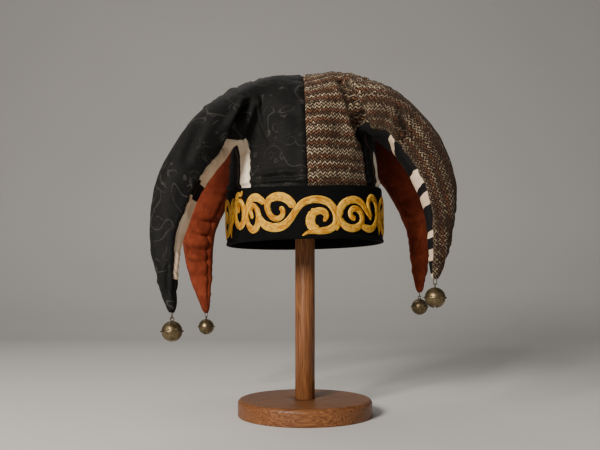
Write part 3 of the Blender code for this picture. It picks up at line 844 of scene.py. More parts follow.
@dataclass
class Stand:
    """The turned disc and the dowel, with the plain dome that the hat rests on."""

    base_radius: float = 75.0
    base_height: float = 19.0
    edge_round: float = 4.5
    post_radius: float = 11.0
    socket_depth: float = 12.0
    gap: float = 0.3
    head_radius: float = 52.0
    head_centre: float = 330.0
    head_top: float = 371.4
    steps: int = 96

    def make_base(self) -> None:
        """The disc, with its rounded edge and the socket for the dowel."""
        foot = 1.5
        profile = [(0.0, 0.0), (self.base_radius - 20.0, 0.0)]
        profile += arc((self.base_radius - foot, foot), foot, -90.0, 0.0, 5)
        profile += arc((self.base_radius - self.edge_round, self.base_height - self.edge_round),
                       self.edge_round, 0.0, 90.0, 10)
        bore = self.post_radius + self.gap
        floor = self.base_height - self.socket_depth
        profile += [(bore + 14.0, self.base_height), (bore + 0.5, self.base_height),
                    (bore, self.base_height - 0.5), (bore, floor), (0.0, floor)]
        wood = Wood("wood_disc", along=(9.0, 120.0, 150.0)).build()
        disc = spin_profile(profile, self.steps)
        finish_piece(disc, "stand_disc", Slot.WOOD, [wood], ("display_base",))

    def make_post(self) -> None:
        """The dowel and the dome."""
        foot = self.base_height - self.socket_depth + self.gap
        height = self.head_top - self.head_centre
        dome = [(self.head_radius * math.cos(turn), self.head_centre + height * math.sin(turn))
                for turn in (math.radians(step * 5.0) for step in range(18))]
        profile = [(0.0, foot), (self.post_radius - 1.0, foot), (self.post_radius, foot + 1.0),
                   (self.post_radius, 120.0), (self.post_radius, self.head_centre - 22.0),
                   (self.head_radius - 8.0, self.head_centre - 14.0),
                   (self.head_radius, self.head_centre - 6.0)]
        profile += dome + [(0.0, self.head_top)]
        wood = Wood("wood_dowel", along=(110.0, 110.0, 7.0)).build()
        dowel = spin_profile(profile, self.steps // 2)
        finish_piece(dowel, "stand_dowel", Slot.WOOD, [wood], ("display_post",))

    def build(self) -> None:
        """Builds both pieces."""
        self.make_base()
        self.make_post()


@dataclass
class Headband:
    """The velvet band: a padded oval tube with a turned and stitched hem."""

    wall: float = 3.0
    hem_height: float = 3.6
    hem_swell: float = 1.0
    sag: float = 0.5
    ripple: float = 0.35
    columns: int = 220

    def profile(self) -> list[tuple[float, float]]:
        """The wall's section at the front: how far inside the face, and how high above the hem."""
        swell = self.hem_swell
        outside = [(-swell * 0.4, 0.0), (-swell, 0.9), (-swell, self.hem_height - 1.3),
                   (-swell * 0.3, self.hem_height - 0.3), (0.05, self.hem_height + 0.5)]
        outside += [(0.0, height) for height in (self.hem_height + 4.0, 16.0, 26.0, 36.0, 44.0, 49.5)]
        return outside + [(0.35, 52.2), (1.2, 53.0), (2.3, 52.8), (self.wall, 52.0), (self.wall, 40.0),
                          (self.wall, 20.0), (self.wall, 3.0), (self.wall - 0.6, 0.3), (1.2, -0.05)]

    def build(self) -> None:
        """Builds the band."""
        section = self.profile()
        section.append(section[0])
        lengths = [0.0]
        for first, second in zip(section, section[1:]):
            lengths.append(lengths[-1] + math.dist(first, second))
        last = len(section) - 1

        def point(column: float, row: float) -> Vector:
            """A point of the band's skin, a little uneven on its outer face."""
            plan_angle = 360.0 * column / self.columns
            inside, height = section[round(row)]
            top_share = height / BAND_FRONT_HEIGHT
            rise = (band_top(plan_angle) - BAND_BOTTOM) * top_share if height > 6.0 else height
            around = direction(plan_angle)
            soft = noise.noise(around * 4.0 + UP * height * 0.05) * self.sag
            ripple = noise.noise(around * 14.0 + UP * height * 0.06) * self.ripple
            edge = math.sin(math.pi * min(max(top_share, 0.0), 1.0))
            uneven = (soft + ripple) * edge * (inside < 1.0)
            return place(oval(plan_angle, inside - uneven, BAND_BOTTOM + rise))

        def cloth(column: float, row: float) -> tuple[float, float]:
            """How far the point is round the band and round its section."""
            along = math.tau * BAND_MEAN_RADIUS * column / self.columns
            return along / CLOTH_UNIT, lengths[round(row)] / CLOTH_UNIT

        band = bmesh.new()
        lay_grid(band, self.columns, last, point, cloth)
        weld(band, 0.001)
        velvet = Velvet("velvet_black", deep=(0.0012, 0.0012, 0.0013), brushed=(0.004, 0.004, 0.0043),
                        bloom=(0.8, 0.78, 0.8), bloom_weight=0.008)
        piece = finish_piece(band, "velvet_headband", Slot.BAND, [velvet.build()], ("headband",))
        subdivide(piece, 1)


@dataclass(frozen=True)
class Ribbon:
    """One raised ribbon of the scroll: its middle line, and its widths at even steps from start to end.

    The line's points are a plan angle and a height above the foot of the band.
    """

    line: tuple[tuple[float, float], ...]
    widths: tuple[float, ...]

    def moved(self, plan_angle: float, mirror: float = 1.0) -> Ribbon:
        """The ribbon at another place round the band.

        Args:
            plan_angle: Where it goes.
            mirror: -1 turns it round from left to right.

        Returns:
            The moved ribbon.
        """
        return Ribbon(tuple((plan_angle + mirror * across, up) for across, up in self.line), self.widths)


FRONT_RIBBONS = {
    "sweep": Ribbon(
        ((-33.6, 26.7), (-31.3, 21.1), (-28.1, 15.6), (-24.0, 13.0), (-20.0, 12.1), (-15.0, 13.3),
         (-11.2, 17.7), (-7.8, 24.1), (-4.8, 30.6), (-1.2, 35.7), (3.2, 38.2), (8.3, 38.8),
         (13.4, 37.2), (17.5, 33.1), (20.2, 26.8), (21.1, 20.2), (20.0, 13.6), (16.0, 9.2),
         (10.8, 7.6), (5.7, 7.4), (1.3, 6.2), (-2.3, 3.0)),
        (5.6, 8.8, 8.6, 6.8, 7.0, 7.6, 7.6, 7.6, 6.4, 1.6)),
    "fan": Ribbon(
        ((9.3, 8.7), (5.3, 11.0), (3.5, 15.5), (3.7, 21.0), (5.9, 25.6), (9.6, 27.5), (12.7, 26.2),
         (14.1, 22.4), (13.2, 19.1), (11.8, 17.2)),
        (7.0, 9.6, 9.4, 7.0, 6.6, 3.6)),
    "scallop_low": Ribbon(
        ((2.9, 15.5), (1.1, 15.0), (0.3, 14.7)),
        (5.0, 5.0, 4.6)),
    "scallop_middle": Ribbon(
        ((3.1, 20.4), (1.4, 20.7), (0.4, 20.9)),
        (5.0, 5.0, 4.6)),
    "scallop_high": Ribbon(
        ((4.4, 24.2), (2.7, 25.5), (1.9, 26.2)),
        (5.0, 5.0, 4.6)),
    "scallop_top": Ribbon(
        ((6.4, 26.5), (4.8, 28.5), (4.1, 29.6)),
        (5.0, 4.8, 4.2)),
    "round": Ribbon(
        ((-7.4, 30.7), (-9.5, 36.8), (-13.8, 41.4), (-19.1, 42.4), (-23.7, 40.0), (-25.7, 34.4),
         (-24.7, 27.2), (-21.8, 22.0), (-17.9, 20.8), (-15.1, 23.9), (-14.7, 28.8), (-16.8, 32.4)),
        (8.0, 8.8, 8.8, 7.4, 6.4, 5.8, 5.4, 5.0)),
    "bridge": Ribbon(
        ((-27.7, 35.6), (-30.1, 39.3), (-33.6, 42.2), (-37.1, 42.2), (-40.2, 39.0), (-42.3, 32.8),
         (-43.2, 25.3), (-42.0, 17.6), (-39.0, 12.0), (-35.8, 11.7), (-33.4, 15.8), (-32.5, 22.3),
         (-33.3, 28.9), (-35.7, 33.7), (-38.2, 34.5), (-39.3, 30.2), (-38.4, 24.9), (-38.0, 21.6)),
        (6.0, 8.0, 7.6, 5.2, 5.6, 7.6, 7.2, 6.0, 5.0, 4.4)),
    "right_ring": Ribbon(
        ((23.3, 21.3), (23.8, 28.7), (27.0, 34.7), (31.7, 37.8), (36.9, 38.1), (41.5, 35.6),
         (44.8, 31.4), (48.3, 25.4), (52.2, 19.1)),
        (8.0, 8.4, 7.6, 7.2, 6.8, 5.6, 2.6)),
    "right_curl": Ribbon(
        ((23.3, 20.2), (25.3, 15.3), (29.0, 11.4), (34.4, 10.4), (39.4, 13.2), (42.1, 18.8),
         (41.2, 25.0), (37.9, 29.0), (33.8, 29.3), (31.7, 25.6), (32.8, 21.3), (36.3, 19.6)),
        (7.0, 7.6, 7.4, 7.0, 6.2, 6.0, 5.2)),
    "far_ring": Ribbon(
        ((41.0, 14.2), (46.1, 11.0), (52.7, 11.0), (57.3, 15.7), (60.1, 24.1), (59.7, 32.7),
         (57.0, 39.0), (52.8, 41.4), (49.5, 38.4), (48.9, 32.5), (50.6, 26.6), (53.3, 21.9)),
        (6.0, 7.4, 6.6, 6.0, 6.4, 7.0, 6.4, 5.6, 3.6)),
    "left_loop": Ribbon(
        ((-47.3, 50.0), (-48.7, 46.0), (-52.4, 46.5), (-54.6, 39.4), (-55.8, 29.8), (-55.1, 21.1),
         (-51.4, 15.8), (-47.4, 18.1), (-45.7, 24.5), (-46.5, 33.2), (-49.4, 40.0), (-51.7, 38.0),
         (-52.0, 28.3)),
        (2.4, 5.0, 6.4, 6.0, 6.6, 7.4, 6.8, 6.0, 5.0, 4.0)),
    "far_left": Ribbon(
        ((-58.2, 43.6), (-60.8, 36.8), (-60.4, 26.0), (-61.9, 18.6), (-64.2, 14.5)),
        (3.0, 6.0, 6.6, 5.0, 2.0)),
    "leaf": Ribbon(
        ((22.2, 30.1), (21.8, 21.3), (21.6, 13.6), (21.1, 7.6)),
        (6.0, 10.0, 9.0, 1.6)),
}
SIDE_RIBBON = Ribbon(
    ((-11.5, 12.0), (-11.8, 26.0), (-6.6, 38.0), (0.6, 41.4), (7.4, 36.0), (9.4, 24.0), (6.2, 13.4),
     (-0.6, 9.6), (-5.6, 15.4), (-5.4, 25.0), (-0.4, 30.4), (3.6, 25.6), (1.8, 20.0)),
    (5.0, 6.6, 4.2))
LEAF_RIBBON = Ribbon(((0.0, 37.0), (0.0, 24.0), (0.0, 14.0), (0.0, 5.0)), (2.0, 8.4, 1.2))


@dataclass
class ScrollEmbroidery:
    """The gold ornament: raised satin-stitched ribbons sewn on the velvet."""

    relief: float = 1.35
    stand_off: float = 0.25
    step: float = 1.3
    section: int = 12
    curl_pitch: float = 20.3
    first_right: float = 74.9
    first_left: float = -73.9
    count_right: int = 6
    count_left: int = 5
    front_ends: tuple[float, float] = (-53.6, 54.6)

    @staticmethod
    def flat(spot: tuple[float, float]) -> Vector:
        """A plan angle and a height as a point of the band laid flat."""
        return Vector((math.radians(spot[0]) * BAND_MEAN_RADIUS, spot[1]))

    def trace(self, ribbon: Ribbon) -> list[Vector]:
        """Evenly spaced points of a smooth line through a ribbon's points.

        Args:
            ribbon: The ribbon.

        Returns:
            The points on the band laid flat.
        """
        knots = [self.flat(spot) for spot in ribbon.line]
        knots = [knots[0] * 2.0 - knots[1], *knots, knots[-1] * 2.0 - knots[-2]]
        dense = []
        for before, start, end, after in zip(knots, knots[1:], knots[2:], knots[3:]):
            for number in range(24):
                share = number / 24.0
                dense.append(bezier(start, (end - before) / 6.0, end, (start - after) / 6.0, share))
        dense.append(knots[-2])
        travelled = [0.0]
        for first, second in zip(dense, dense[1:]):
            travelled.append(travelled[-1] + (second - first).length)
        count = max(4, round(travelled[-1] / self.step))
        wanted = np.linspace(0.0, travelled[-1], count + 1)
        across = np.interp(wanted, travelled, [point.x for point in dense])
        upwards = np.interp(wanted, travelled, [point.y for point in dense])
        return [Vector(pair) for pair in zip(across, upwards)]

    def add_ribbon(self, scroll: bmesh.types.BMesh, ribbon: Ribbon) -> None:
        """Adds one ribbon as a closed, crowned strip.

        Args:
            scroll: The mesh.
            ribbon: The ribbon.
        """
        line = self.trace(ribbon)
        last = len(line) - 1

        def half_width(column: int) -> float:
            """Half the ribbon's width, drawn in to a round end."""
            share = column / last
            width = float(np.interp(share, np.linspace(0.0, 1.0, len(ribbon.widths)), ribbon.widths)) / 2.0
            from_end = min(column, last - column) * self.step
            return width * math.sqrt(max(0.0, 1.0 - (1.0 - min(1.0, from_end / width)) ** 2))

        def around(row: float) -> tuple[float, float]:
            """Where a row lies across the ribbon, and how high."""
            turn = math.tau * row / self.section
            lift = math.sin(turn)
            return math.cos(turn), lift ** 0.7 if lift > 0.0 else 0.0

        def point(column: float, row: float) -> Vector:
            """A point of the ribbon's surface on the band."""
            index = round(column)
            run = line[min(index + 1, last)] - line[max(index - 1, 0)]
            side = Vector((-run.y, run.x)).normalized()
            across, lift = around(row)
            half = half_width(index)
            spot = line[index] + side * (across * half)
            crown = self.relief * min(1.0, half / 2.4) * lift
            plan_angle = math.degrees(spot.x / BAND_MEAN_RADIUS)
            height_scale = (band_top(plan_angle) - BAND_BOTTOM) / BAND_FRONT_HEIGHT
            return place(oval(plan_angle, -self.stand_off - crown, BAND_BOTTOM + spot.y * height_scale))

        def cloth(column: float, row: float) -> tuple[float, float]:
            """How far the point is along and across the ribbon."""
            return column * self.step / CLOTH_UNIT, around(row)[0] * half_width(round(column)) / CLOTH_UNIT

        lay_grid(scroll, last, self.section, point, cloth)

    def ribbons(self) -> list[Ribbon]:
        """All ribbons: the front ones, and alternate curls round to the back seam."""
        made = list(FRONT_RIBBONS.values())
        places = [self.first_right + self.curl_pitch * step for step in range(self.count_right)]
        places += [self.first_left - self.curl_pitch * step for step in range(self.count_left)]
        made += [SIDE_RIBBON.moved(place_angle, -1.0 if number % 2 else 1.0)
                 for number, place_angle in enumerate(places)]
        ordered = sorted([*places, *self.front_ends])
        made += [LEAF_RIBBON.moved((left + right) / 2.0) for left, right in zip(ordered, ordered[1:])
                 if (left, right) != self.front_ends]
        return made

    def build(self) -> None:
        """Builds the ornament."""
        scroll = bmesh.new()
        for ribbon in self.ribbons():
            self.add_ribbon(scroll, ribbon)
        bmesh.ops.remove_doubles(scroll, verts=scroll.verts, dist=0.004)
        bmesh.ops.dissolve_degenerate(scroll, edges=scroll.edges, dist=0.003)
        bmesh.ops.recalc_face_normals(scroll, faces=scroll.faces)
        stitch = GoldStitch("gold_stitch").build()
        finish_piece(scroll, "gold_scroll", Slot.SCROLL, [stitch], ("scroll_embroidery",), sharp=70.0)


@dataclass(frozen=True)
class Station:
    """A section of a lobe: its ridge and under seams, half its thickness and how far it turns."""

    ridge_reach: float
    ridge_height: float
    under_reach: float
    under_height: float
    half_thickness: float
    turn: float


@dataclass(frozen=True)
class Lobe:
    """One drooping lobe, from the crown's ridge to its tip."""

    plan_angle: float
    tip_swing: float
    crotch_angle: float
    wall_angle: float
    crown_ridge: tuple[float, float]
    stations: tuple[Station, ...]

    def middle(self, index: int) -> Vector:
        """The middle of a station, in the upright plane through the tip."""
        station = self.stations[index]
        reach = (station.ridge_reach + station.under_reach) / 2.0
        height = (station.ridge_height + station.under_height) / 2.0
        return direction(self.plan_angle + self.tip_swing) * reach + UP * height

    def tip(self) -> Vector:
        """The middle of the small opening at the tip, before the hat leans."""
        return self.middle(-1)


@dataclass(frozen=True)
class Panel:
    """Half of a lobe with its share of the crown."""

    name: str
    node: str
    slot: Slot
    lobe: str
    seam_angle: float
    belly_drop: float = 0.0


@dataclass(frozen=True)
class Wave:
    """One size of unevenness in the cloth: its height, and its waves for each millimetre."""

    height: float
    pitch: float


@dataclass(frozen=True)
class CrownColumn:
    """A section of the crown: how far its ridge has run out, and its bulge at the foot and the ridge."""

    ridge_reach: float
    foot_rise: float
    ridge_bulge: float


@dataclass(frozen=True)
class WallRow:
    """A row of the crown's wall: height above the band, and how far inside the band's face."""

    above_band: float
    inside_face: float


class Side(Enum):
    """Which lobes a fold is on."""

    FRONT = 1.0
    REAR = -1.0


@dataclass(frozen=True)
class Fold:
    """A fold as seen from the camera.

    Its start, bend and end are picture points, and its width and depth are in millimetres.
    """

    start: tuple[float, float]
    bend: tuple[float, float]
    end: tuple[float, float]
    width: float
    depth: float
    side: Side = Side.FRONT


GATHER_WAVES = (Wave(2.0, 0.16), Wave(1.2, 0.34))
SLACK_WAVES = (Wave(1.5, 0.022), Wave(0.8, 0.055), Wave(0.3, 0.13))
FOLDS = (
    Fold((229, 151), (238, 124), (253, 98), 3.8, -18.0),
    Fold((250, 99), (255, 90), (262, 103), 2.2, 2.4),
    Fold((262, 100), (260, 122), (272, 141), 2.0, 2.0),
    Fold((223, 130), (236, 112), (250, 96), 2.6, 2.4),
    Fold((343, 78), (352, 92), (357, 108), 4.4, -16.0),
    Fold((356, 100), (362, 118), (368, 142), 6.0, -7.0),
    Fold((352, 83), (372, 92), (390, 117), 4.2, 3.2),
    Fold((358, 108), (364, 128), (371, 150), 6.0, -7.0),
    Fold((401, 108), (407, 124), (405, 148), 2.5, -14.0),
    Fold((393, 106), (400, 124), (398, 144), 3.0, 3.4),
    Fold((410, 106), (414, 126), (410, 148), 3.2, 2.4),
    Fold((254, 179), (278, 174), (303, 177), 2.2, -3.4),
    Fold((256, 185), (284, 181), (305, 184), 2.0, -2.6),
    Fold((262, 174), (284, 168), (300, 171), 2.4, 2.0),
    Fold((312, 181), (336, 177), (366, 182), 2.2, -2.6),
    Fold((208, 112), (196, 132), (186, 160), 5.0, -4.0),
    Fold((212, 172), (199, 192), (191, 216), 4.0, -4.5),
    Fold((188, 212), (180, 230), (176, 252), 4.0, -2.4),
    Fold((158, 214), (160, 236), (163, 258), 5.0, -2.2),
    Fold((168, 262), (165, 282), (167, 302), 2.4, -2.0),
    Fold((414, 172), (424, 196), (432, 224), 3.6, -2.4),
    Fold((440, 160), (446, 190), (446, 220), 5.0, -2.2),
    Fold((330, 92), (322, 120), (324, 160), 11.0, 2.4),
    Fold((282, 88), (286, 120), (284, 158), 12.0, 2.2),
    Fold((300, 112), (288, 116), (276, 112), 4.0, -1.4),
    Fold((306, 110), (318, 116), (332, 110), 4.0, -1.4),
    Fold((190, 231), (201, 237), (212, 234), 3.2, -6.5, Side.REAR),
    Fold((186, 246), (198, 251), (211, 247), 3.2, -6.0, Side.REAR),
    Fold((183, 259), (196, 263), (209, 258), 3.0, -5.0, Side.REAR),
    Fold((196, 218), (207, 224), (218, 219), 3.2, -5.5, Side.REAR),
    Fold((182, 240), (196, 243), (210, 240), 3.0, 2.0, Side.REAR),
    Fold((188, 274), (197, 277), (208, 272), 3.0, -4.0, Side.REAR),
    Fold((404, 214), (412, 218), (420, 214), 3.0, -2.4, Side.REAR),
    Fold((410, 240), (418, 244), (426, 240), 3.0, -2.4, Side.REAR),
    Fold((398, 192), (406, 196), (414, 190), 3.0, -2.0, Side.REAR),
)


@dataclass
class HatShell:
    """The eight cloth panels, shaped together so that their seams stay aligned, and then cut apart."""

    smoothing: int = 4
    fold_steps: int = 25
    cloth_thickness: float = 1.5
    hem_tuck: float = 10.0
    gap: float = 0.3
    band_wall: float = 3.0
    crotch_height: float = 302.0
    apex_height: float = 375.0
    crown_columns: int = 3
    section_rows: int = 4
    root_pull: float = 0.55
    root_lift: float = 12.0
    gathered_reach: float = 18.4
    gathered_length: float = 9.0
    gathered_share: float = 0.5
    seam_depth: float = 1.5
    seam_width: float = 1.9
    lip_height: float = 0.5
    lip_place: float = 5.0
    lip_width: float = 3.0
    gather_place: float = 3.0
    gather_width: float = math.sqrt(90.0)
    puff_height: float = 1.8
    puff_place: float = 6.0
    puff_width: float = 4.0
    wall_slack: float = 4.0
    settle_height: float = 4.0
    still_tip: float = 4.0
    tip_fade: float = 22.0
    crotch_inside: float = 7.0
    crown: tuple[CrownColumn, ...] = (
        CrownColumn(0.0, 44.0, 50.0), CrownColumn(32.0, 42.0, 44.0), CrownColumn(64.0, 34.0, 42.0))
    wall: tuple[WallRow, ...] = (WallRow(-10.0, 3.3), WallRow(0.5, 3.3), WallRow(12.0, 1.5))
    lobes: dict[str, Lobe] = field(default_factory=lambda: {
        "front_left": Lobe(-49.0, -1.0, -47.0, -41.5, (373.0, 366.0), (
            Station(98.0, 351.0, 82.0, 302.0, 34.0, 0.0),
            Station(133.0, 327.0, 104.0, 287.0, 30.0, 30.0),
            Station(165.0, 290.0, 126.0, 255.0, 28.0, 64.0),
            Station(189.0, 241.0, 146.0, 220.0, 24.0, 78.0),
            Station(195.0, 182.0, 163.0, 174.0, 16.0, 80.0),
            Station(174.6, 121.0, 165.4, 121.0, 4.6, 80.0))),
        "front_right": Lobe(48.0, 1.0, 51.0, 53.0, (376.0, 370.0), (
            Station(98.0, 357.0, 84.0, 306.0, 34.0, 0.0),
            Station(133.0, 335.5, 113.0, 301.0, 30.0, 30.0),
            Station(163.0, 302.0, 125.0, 273.0, 28.0, 64.0),
            Station(187.0, 260.0, 145.0, 241.0, 23.0, 78.0),
            Station(191.0, 209.0, 159.0, 199.0, 16.0, 80.0),
            Station(168.6, 148.0, 159.4, 148.0, 4.6, 80.0))),
        "rear_left": Lobe(-134.0, 0.0, -134.0, -134.0, (375.0, 367.0), (
            Station(97.0, 350.0, 82.0, 302.0, 34.0, 0.0),
            Station(133.0, 325.0, 106.0, 285.0, 31.0, 0.0),
            Station(177.0, 288.0, 138.0, 254.0, 26.0, 0.0),
            Station(217.0, 240.0, 169.0, 218.0, 23.0, 0.0),
            Station(222.0, 190.0, 172.0, 174.0, 19.0, 0.0),
            Station(184.1, 113.0, 174.9, 113.0, 4.6, 0.0))),
        "rear_right": Lobe(132.0, -10.0, 132.0, 132.0, (376.0, 369.0), (
            Station(97.0, 354.0, 84.0, 304.0, 34.0, 0.0),
            Station(131.0, 329.0, 108.0, 289.0, 31.0, 0.0),
            Station(165.0, 292.0, 139.0, 263.0, 24.0, 0.0),
            Station(189.0, 246.0, 160.0, 229.0, 18.0, 0.0),
            Station(191.0, 196.0, 162.0, 187.0, 15.0, 0.0),
            Station(172.6, 134.0, 163.4, 134.0, 4.6, 0.0)))})
    panels: tuple[Panel, ...] = (
        Panel("damask_front_left", "front_left_panel", Slot.DAMASK, "front_left", 2.0),
        Panel("stripes_left", "left_side_panel", Slot.STRIPES, "front_left", -90.0, 56.0),
        Panel("rust_left_side", "left_rear_side_panel", Slot.RUST, "rear_left", -90.0),
        Panel("rust_rear_left", "rear_left_panel", Slot.RUST, "rear_left", -180.0),
        Panel("rust_rear_right", "rear_right_panel", Slot.RUST, "rear_right", 180.0),
        Panel("rust_right_side", "right_rear_side_panel", Slot.RUST, "rear_right", 90.0),
        Panel("stripes_right", "right_side_panel", Slot.STRIPES, "front_right", 90.0, 68.0),
        Panel("tweed_front_right", "front_right_panel", Slot.TWEED, "front_right", 2.0))

    def section(self, under: Vector, ridge: Vector, foot_pull: Vector, ridge_pull: Vector
                ) -> list[Vector]:
        """The points of a section.

        Args:
            under: Its lower edge.
            ridge: Its upper edge, on the ridge seam.
            foot_pull: How it leaves the lower edge.
            ridge_pull: How it reaches the ridge.

        Returns:
            The points from the lower edge up.
        """
        shares = [row / self.section_rows for row in range(self.section_rows + 1)]
        return [bezier(under, foot_pull, ridge, ridge_pull, share) for share in shares]

    def crown_sections(self, lobe: Lobe, seam_angle: float, side_angle: float
                       ) -> tuple[list[list[Vector]], list[list[Vector]]]:
        """The crown's part of a panel.

        Args:
            lobe: The lobe that the panel belongs to.
            seam_angle: The plan angle of the crown's seam.
            side_angle: The plan angle that the lobe's side faces.

        Returns:
            The columns of the wall, and the columns from the wall up to the ridge.
        """
        outwards = direction(lobe.plan_angle)
        ridge_heights = (self.apex_height, *lobe.crown_ridge)
        wall, columns = [], []
        for index in range(self.crown_columns + 1):
            share = index / self.crown_columns
            plan_angle = seam_angle + (lobe.wall_angle - seam_angle) * share
            top = band_top(plan_angle)
            points = [oval(plan_angle, row.inside_face, top + row.above_band) for row in self.wall]
            height = self.crotch_height + (lobe.stations[0].under_height - self.crotch_height) * share
            foot = oval(seam_angle + (lobe.crotch_angle - seam_angle) * share, self.crotch_inside, height)
            wall.append([*points, foot])
            if index < self.crown_columns:
                shape = self.crown[index]
                ridge = outwards * shape.ridge_reach + UP * ridge_heights[index]
                bulge = direction(seam_angle + (side_angle - seam_angle) * share) * shape.ridge_bulge
                columns.append(self.section(foot, ridge, UP * shape.foot_rise, bulge))
        return wall, columns

    def lobe_sections(self, lobe: Lobe, to_seam: float, belly_drop: float, crotch: Vector
                      ) -> list[list[Vector]]:
        """The lobe's part of a panel, one section for each station.

        Args:
            lobe: The lobe.
            to_seam: 1 where the crown's seam lies at a larger plan angle, else -1.
            belly_drop: How far the root of the lobe sags below its under seam.
            crotch: Where the wall meets the under seam.

        Returns:
            The columns.
        """
        columns = []
        last = len(lobe.stations) - 1
        for index, station in enumerate(lobe.stations):
            plan_angle = lobe.plan_angle + lobe.tip_swing * index / last
            outwards = direction(plan_angle)
            front = direction(plan_angle + 90.0 * (1.0 if lobe.plan_angle < 0.0 else -1.0))
            ridge = outwards * station.ridge_reach + UP * station.ridge_height
            under = outwards * station.under_reach + UP * station.under_height
            if index == 0:
                under = crotch
            middle = (ridge + under) / 2.0
            turn = Matrix.Rotation(math.radians(station.turn), 3, front.cross(ridge - under))
            pull = turn @ direction(plan_angle + 90.0 * to_seam) * (station.half_thickness * 4.0 / 3.0)
            if index == 0:
                foot_pull = pull * self.root_pull + UP * (self.root_lift - belly_drop)
            elif index == 1:
                foot_pull = pull - UP * belly_drop
            else:
                foot_pull = pull
            columns.append(self.section(
                middle + turn @ (under - middle), middle + turn @ (ridge - middle), foot_pull, pull))
        return columns

    def cage(self) -> bpy.types.Mesh:
        """The coarse cage of the outer surface.

        Returns:
            The cage. Its faces are marked with their panels, and its cloth coordinates are column and row.
        """
        solid = bmesh.new()
        for index, panel in enumerate(self.panels):
            lobe = self.lobes[panel.lobe]
            to_seam = 1.0 if panel.seam_angle > lobe.plan_angle else -1.0
            wall, columns = self.crown_sections(lobe, panel.seam_angle, lobe.plan_angle + 90.0 * to_seam)
            columns += self.lobe_sections(lobe, to_seam, panel.belly_drop, wall[-1][-1])
            rows = len(self.wall)
            for patch, first_row in ((wall, -rows), (columns, 0)):
                faces = lay_grid(
                    solid, len(patch) - 1, len(patch[0]) - 1,
                    lambda column, row, patch=patch: patch[round(column)][round(row)],
                    lambda column, row, first_row=first_row: (column, row + first_row))
                for face in faces:
                    face.material_index = index
        weld(solid, 0.01)
        return to_mesh(solid, "hat_cage")

    def smooth_surface(self) -> bpy.types.Mesh:
        """The outer surface of all panels as one fine mesh, with its faces outwards."""
        guide = add_object("hat_cage", self.cage())
        subdivide(guide, self.smoothing).uv_smooth = "NONE"
        mesh = modified_mesh(guide)
        bpy.data.objects.remove(guide, do_unlink=True)
        surface = bmesh.new()
        surface.from_mesh(mesh)
        surface.normal_update()
        if max(surface.verts, key=lambda vert: vert.co.z).normal.z < 0.0:
            bmesh.ops.reverse_faces(surface, faces=surface.faces)
        self.tuck_hem(surface)
        surface.to_mesh(mesh)
        surface.free()
        return mesh

    def tuck_hem(self, surface: bmesh.types.BMesh) -> None:
        """Lays the foot of the crown flat against the inside of the headband.

        Args:
            surface: The fine surface, whose points are moved.
        """
        for vert in surface.verts:
            plan_angle = math.degrees(math.atan2(vert.co.x / BAND_HALF_WIDTH, -vert.co.y / BAND_HALF_DEPTH))
            above_band = vert.co.z - band_top(plan_angle)
            on_lobe = vert.co.xy.length > oval(plan_angle, -self.band_wall, 0.0).length
            if on_lobe or above_band > self.hem_tuck / 2.0:
                continue
            inner = oval(plan_angle, self.band_wall + self.gap, vert.co.z)
            if above_band < 0.0 or vert.co.xy.length > inner.xy.length:
                vert.co = inner

    def seams(self, mesh: bpy.types.Mesh, points: np.ndarray) -> tuple[np.ndarray, list[Vector]]:
        """How far each point is from the nearest seam, and where that seam is nearest.

        Args:
            mesh: The fine surface.
            points: Its points in millimetres.

        Returns:
            The distances, and the nearest points of the seams.
        """
        owners: dict[int, set[int]] = {}
        for face in mesh.polygons:
            for index in face.vertices:
                owners.setdefault(index, set()).add(face.material_index)
        on_seam = [index for index, panels in owners.items() if len(panels) > 1]
        tree = KDTree(len(on_seam))
        for number, index in enumerate(on_seam):
            tree.insert(points[index], number)
        tree.balance()
        found = [tree.find(point) for point in points]
        return np.array([hit[2] for hit in found]), [hit[0] for hit in found]

    @staticmethod
    def seen(points: np.ndarray) -> np.ndarray:
        """Where points in millimetres stand in the picture."""
        depth = points[:, 1] - CAMERA_PLACE.y
        across = HORIZON_COLUMN + (points[:, 0] - CAMERA_PLACE.x) * FOCAL_POINTS / depth
        down = HORIZON_ROW - (points[:, 2] - CAMERA_PLACE.z) * FOCAL_POINTS / depth
        return np.stack([across, down], axis=1)

    @staticmethod
    def unevenness(waves: tuple[Wave, ...], spots: list[Vector]) -> np.ndarray:
        """The sum of some waves at each spot."""
        return np.array([
            sum(wave.height * noise.noise(spot * wave.pitch) for wave in waves) for spot in spots])

    def fold_relief(self, fold: Fold, points: np.ndarray, picture: np.ndarray, facing: np.ndarray
                    ) -> np.ndarray:
        """How far one fold moves each point along its normal.

        Args:
            fold: The fold.
            points: The surface in millimetres.
            picture: Where its points stand in the picture.
            facing: How much each point faces the camera.

        Returns:
            The heights in millimetres.
        """
        shares = np.linspace(0.0, 1.0, self.fold_steps)[:, None]
        start, bend, end = (np.array(spot, float) for spot in (fold.start, fold.bend, fold.end))
        line = start * (1 - shares) ** 2 + bend * 2 * shares * (1 - shares) + end * shares ** 2
        gaps = np.linalg.norm(picture[:, None, :] - line[None, :, :], axis=2)
        nearest = gaps.argmin(axis=1)
        points_per_mm = FOCAL_POINTS / (points[:, 1] - CAMERA_PLACE.y)
        distance = gaps.min(axis=1) / points_per_mm / fold.width
        along = shares[nearest, 0]
        taper = np.sin(np.pi * np.clip(along, 0.0, 1.0)) ** 0.5 * 0.85 + 0.15
        profile = hump(distance, 0.0, 1.0) - 0.22 * hump(distance, 1.9, math.sqrt(0.8))
        in_front = 1.0 / (1.0 + np.exp((points[:, 1] - 4.0) * fold.side.value / 4.0))
        return fold.depth * profile * taper * in_front * np.clip((facing - 0.02) / 0.2, 0.0, 1.0)

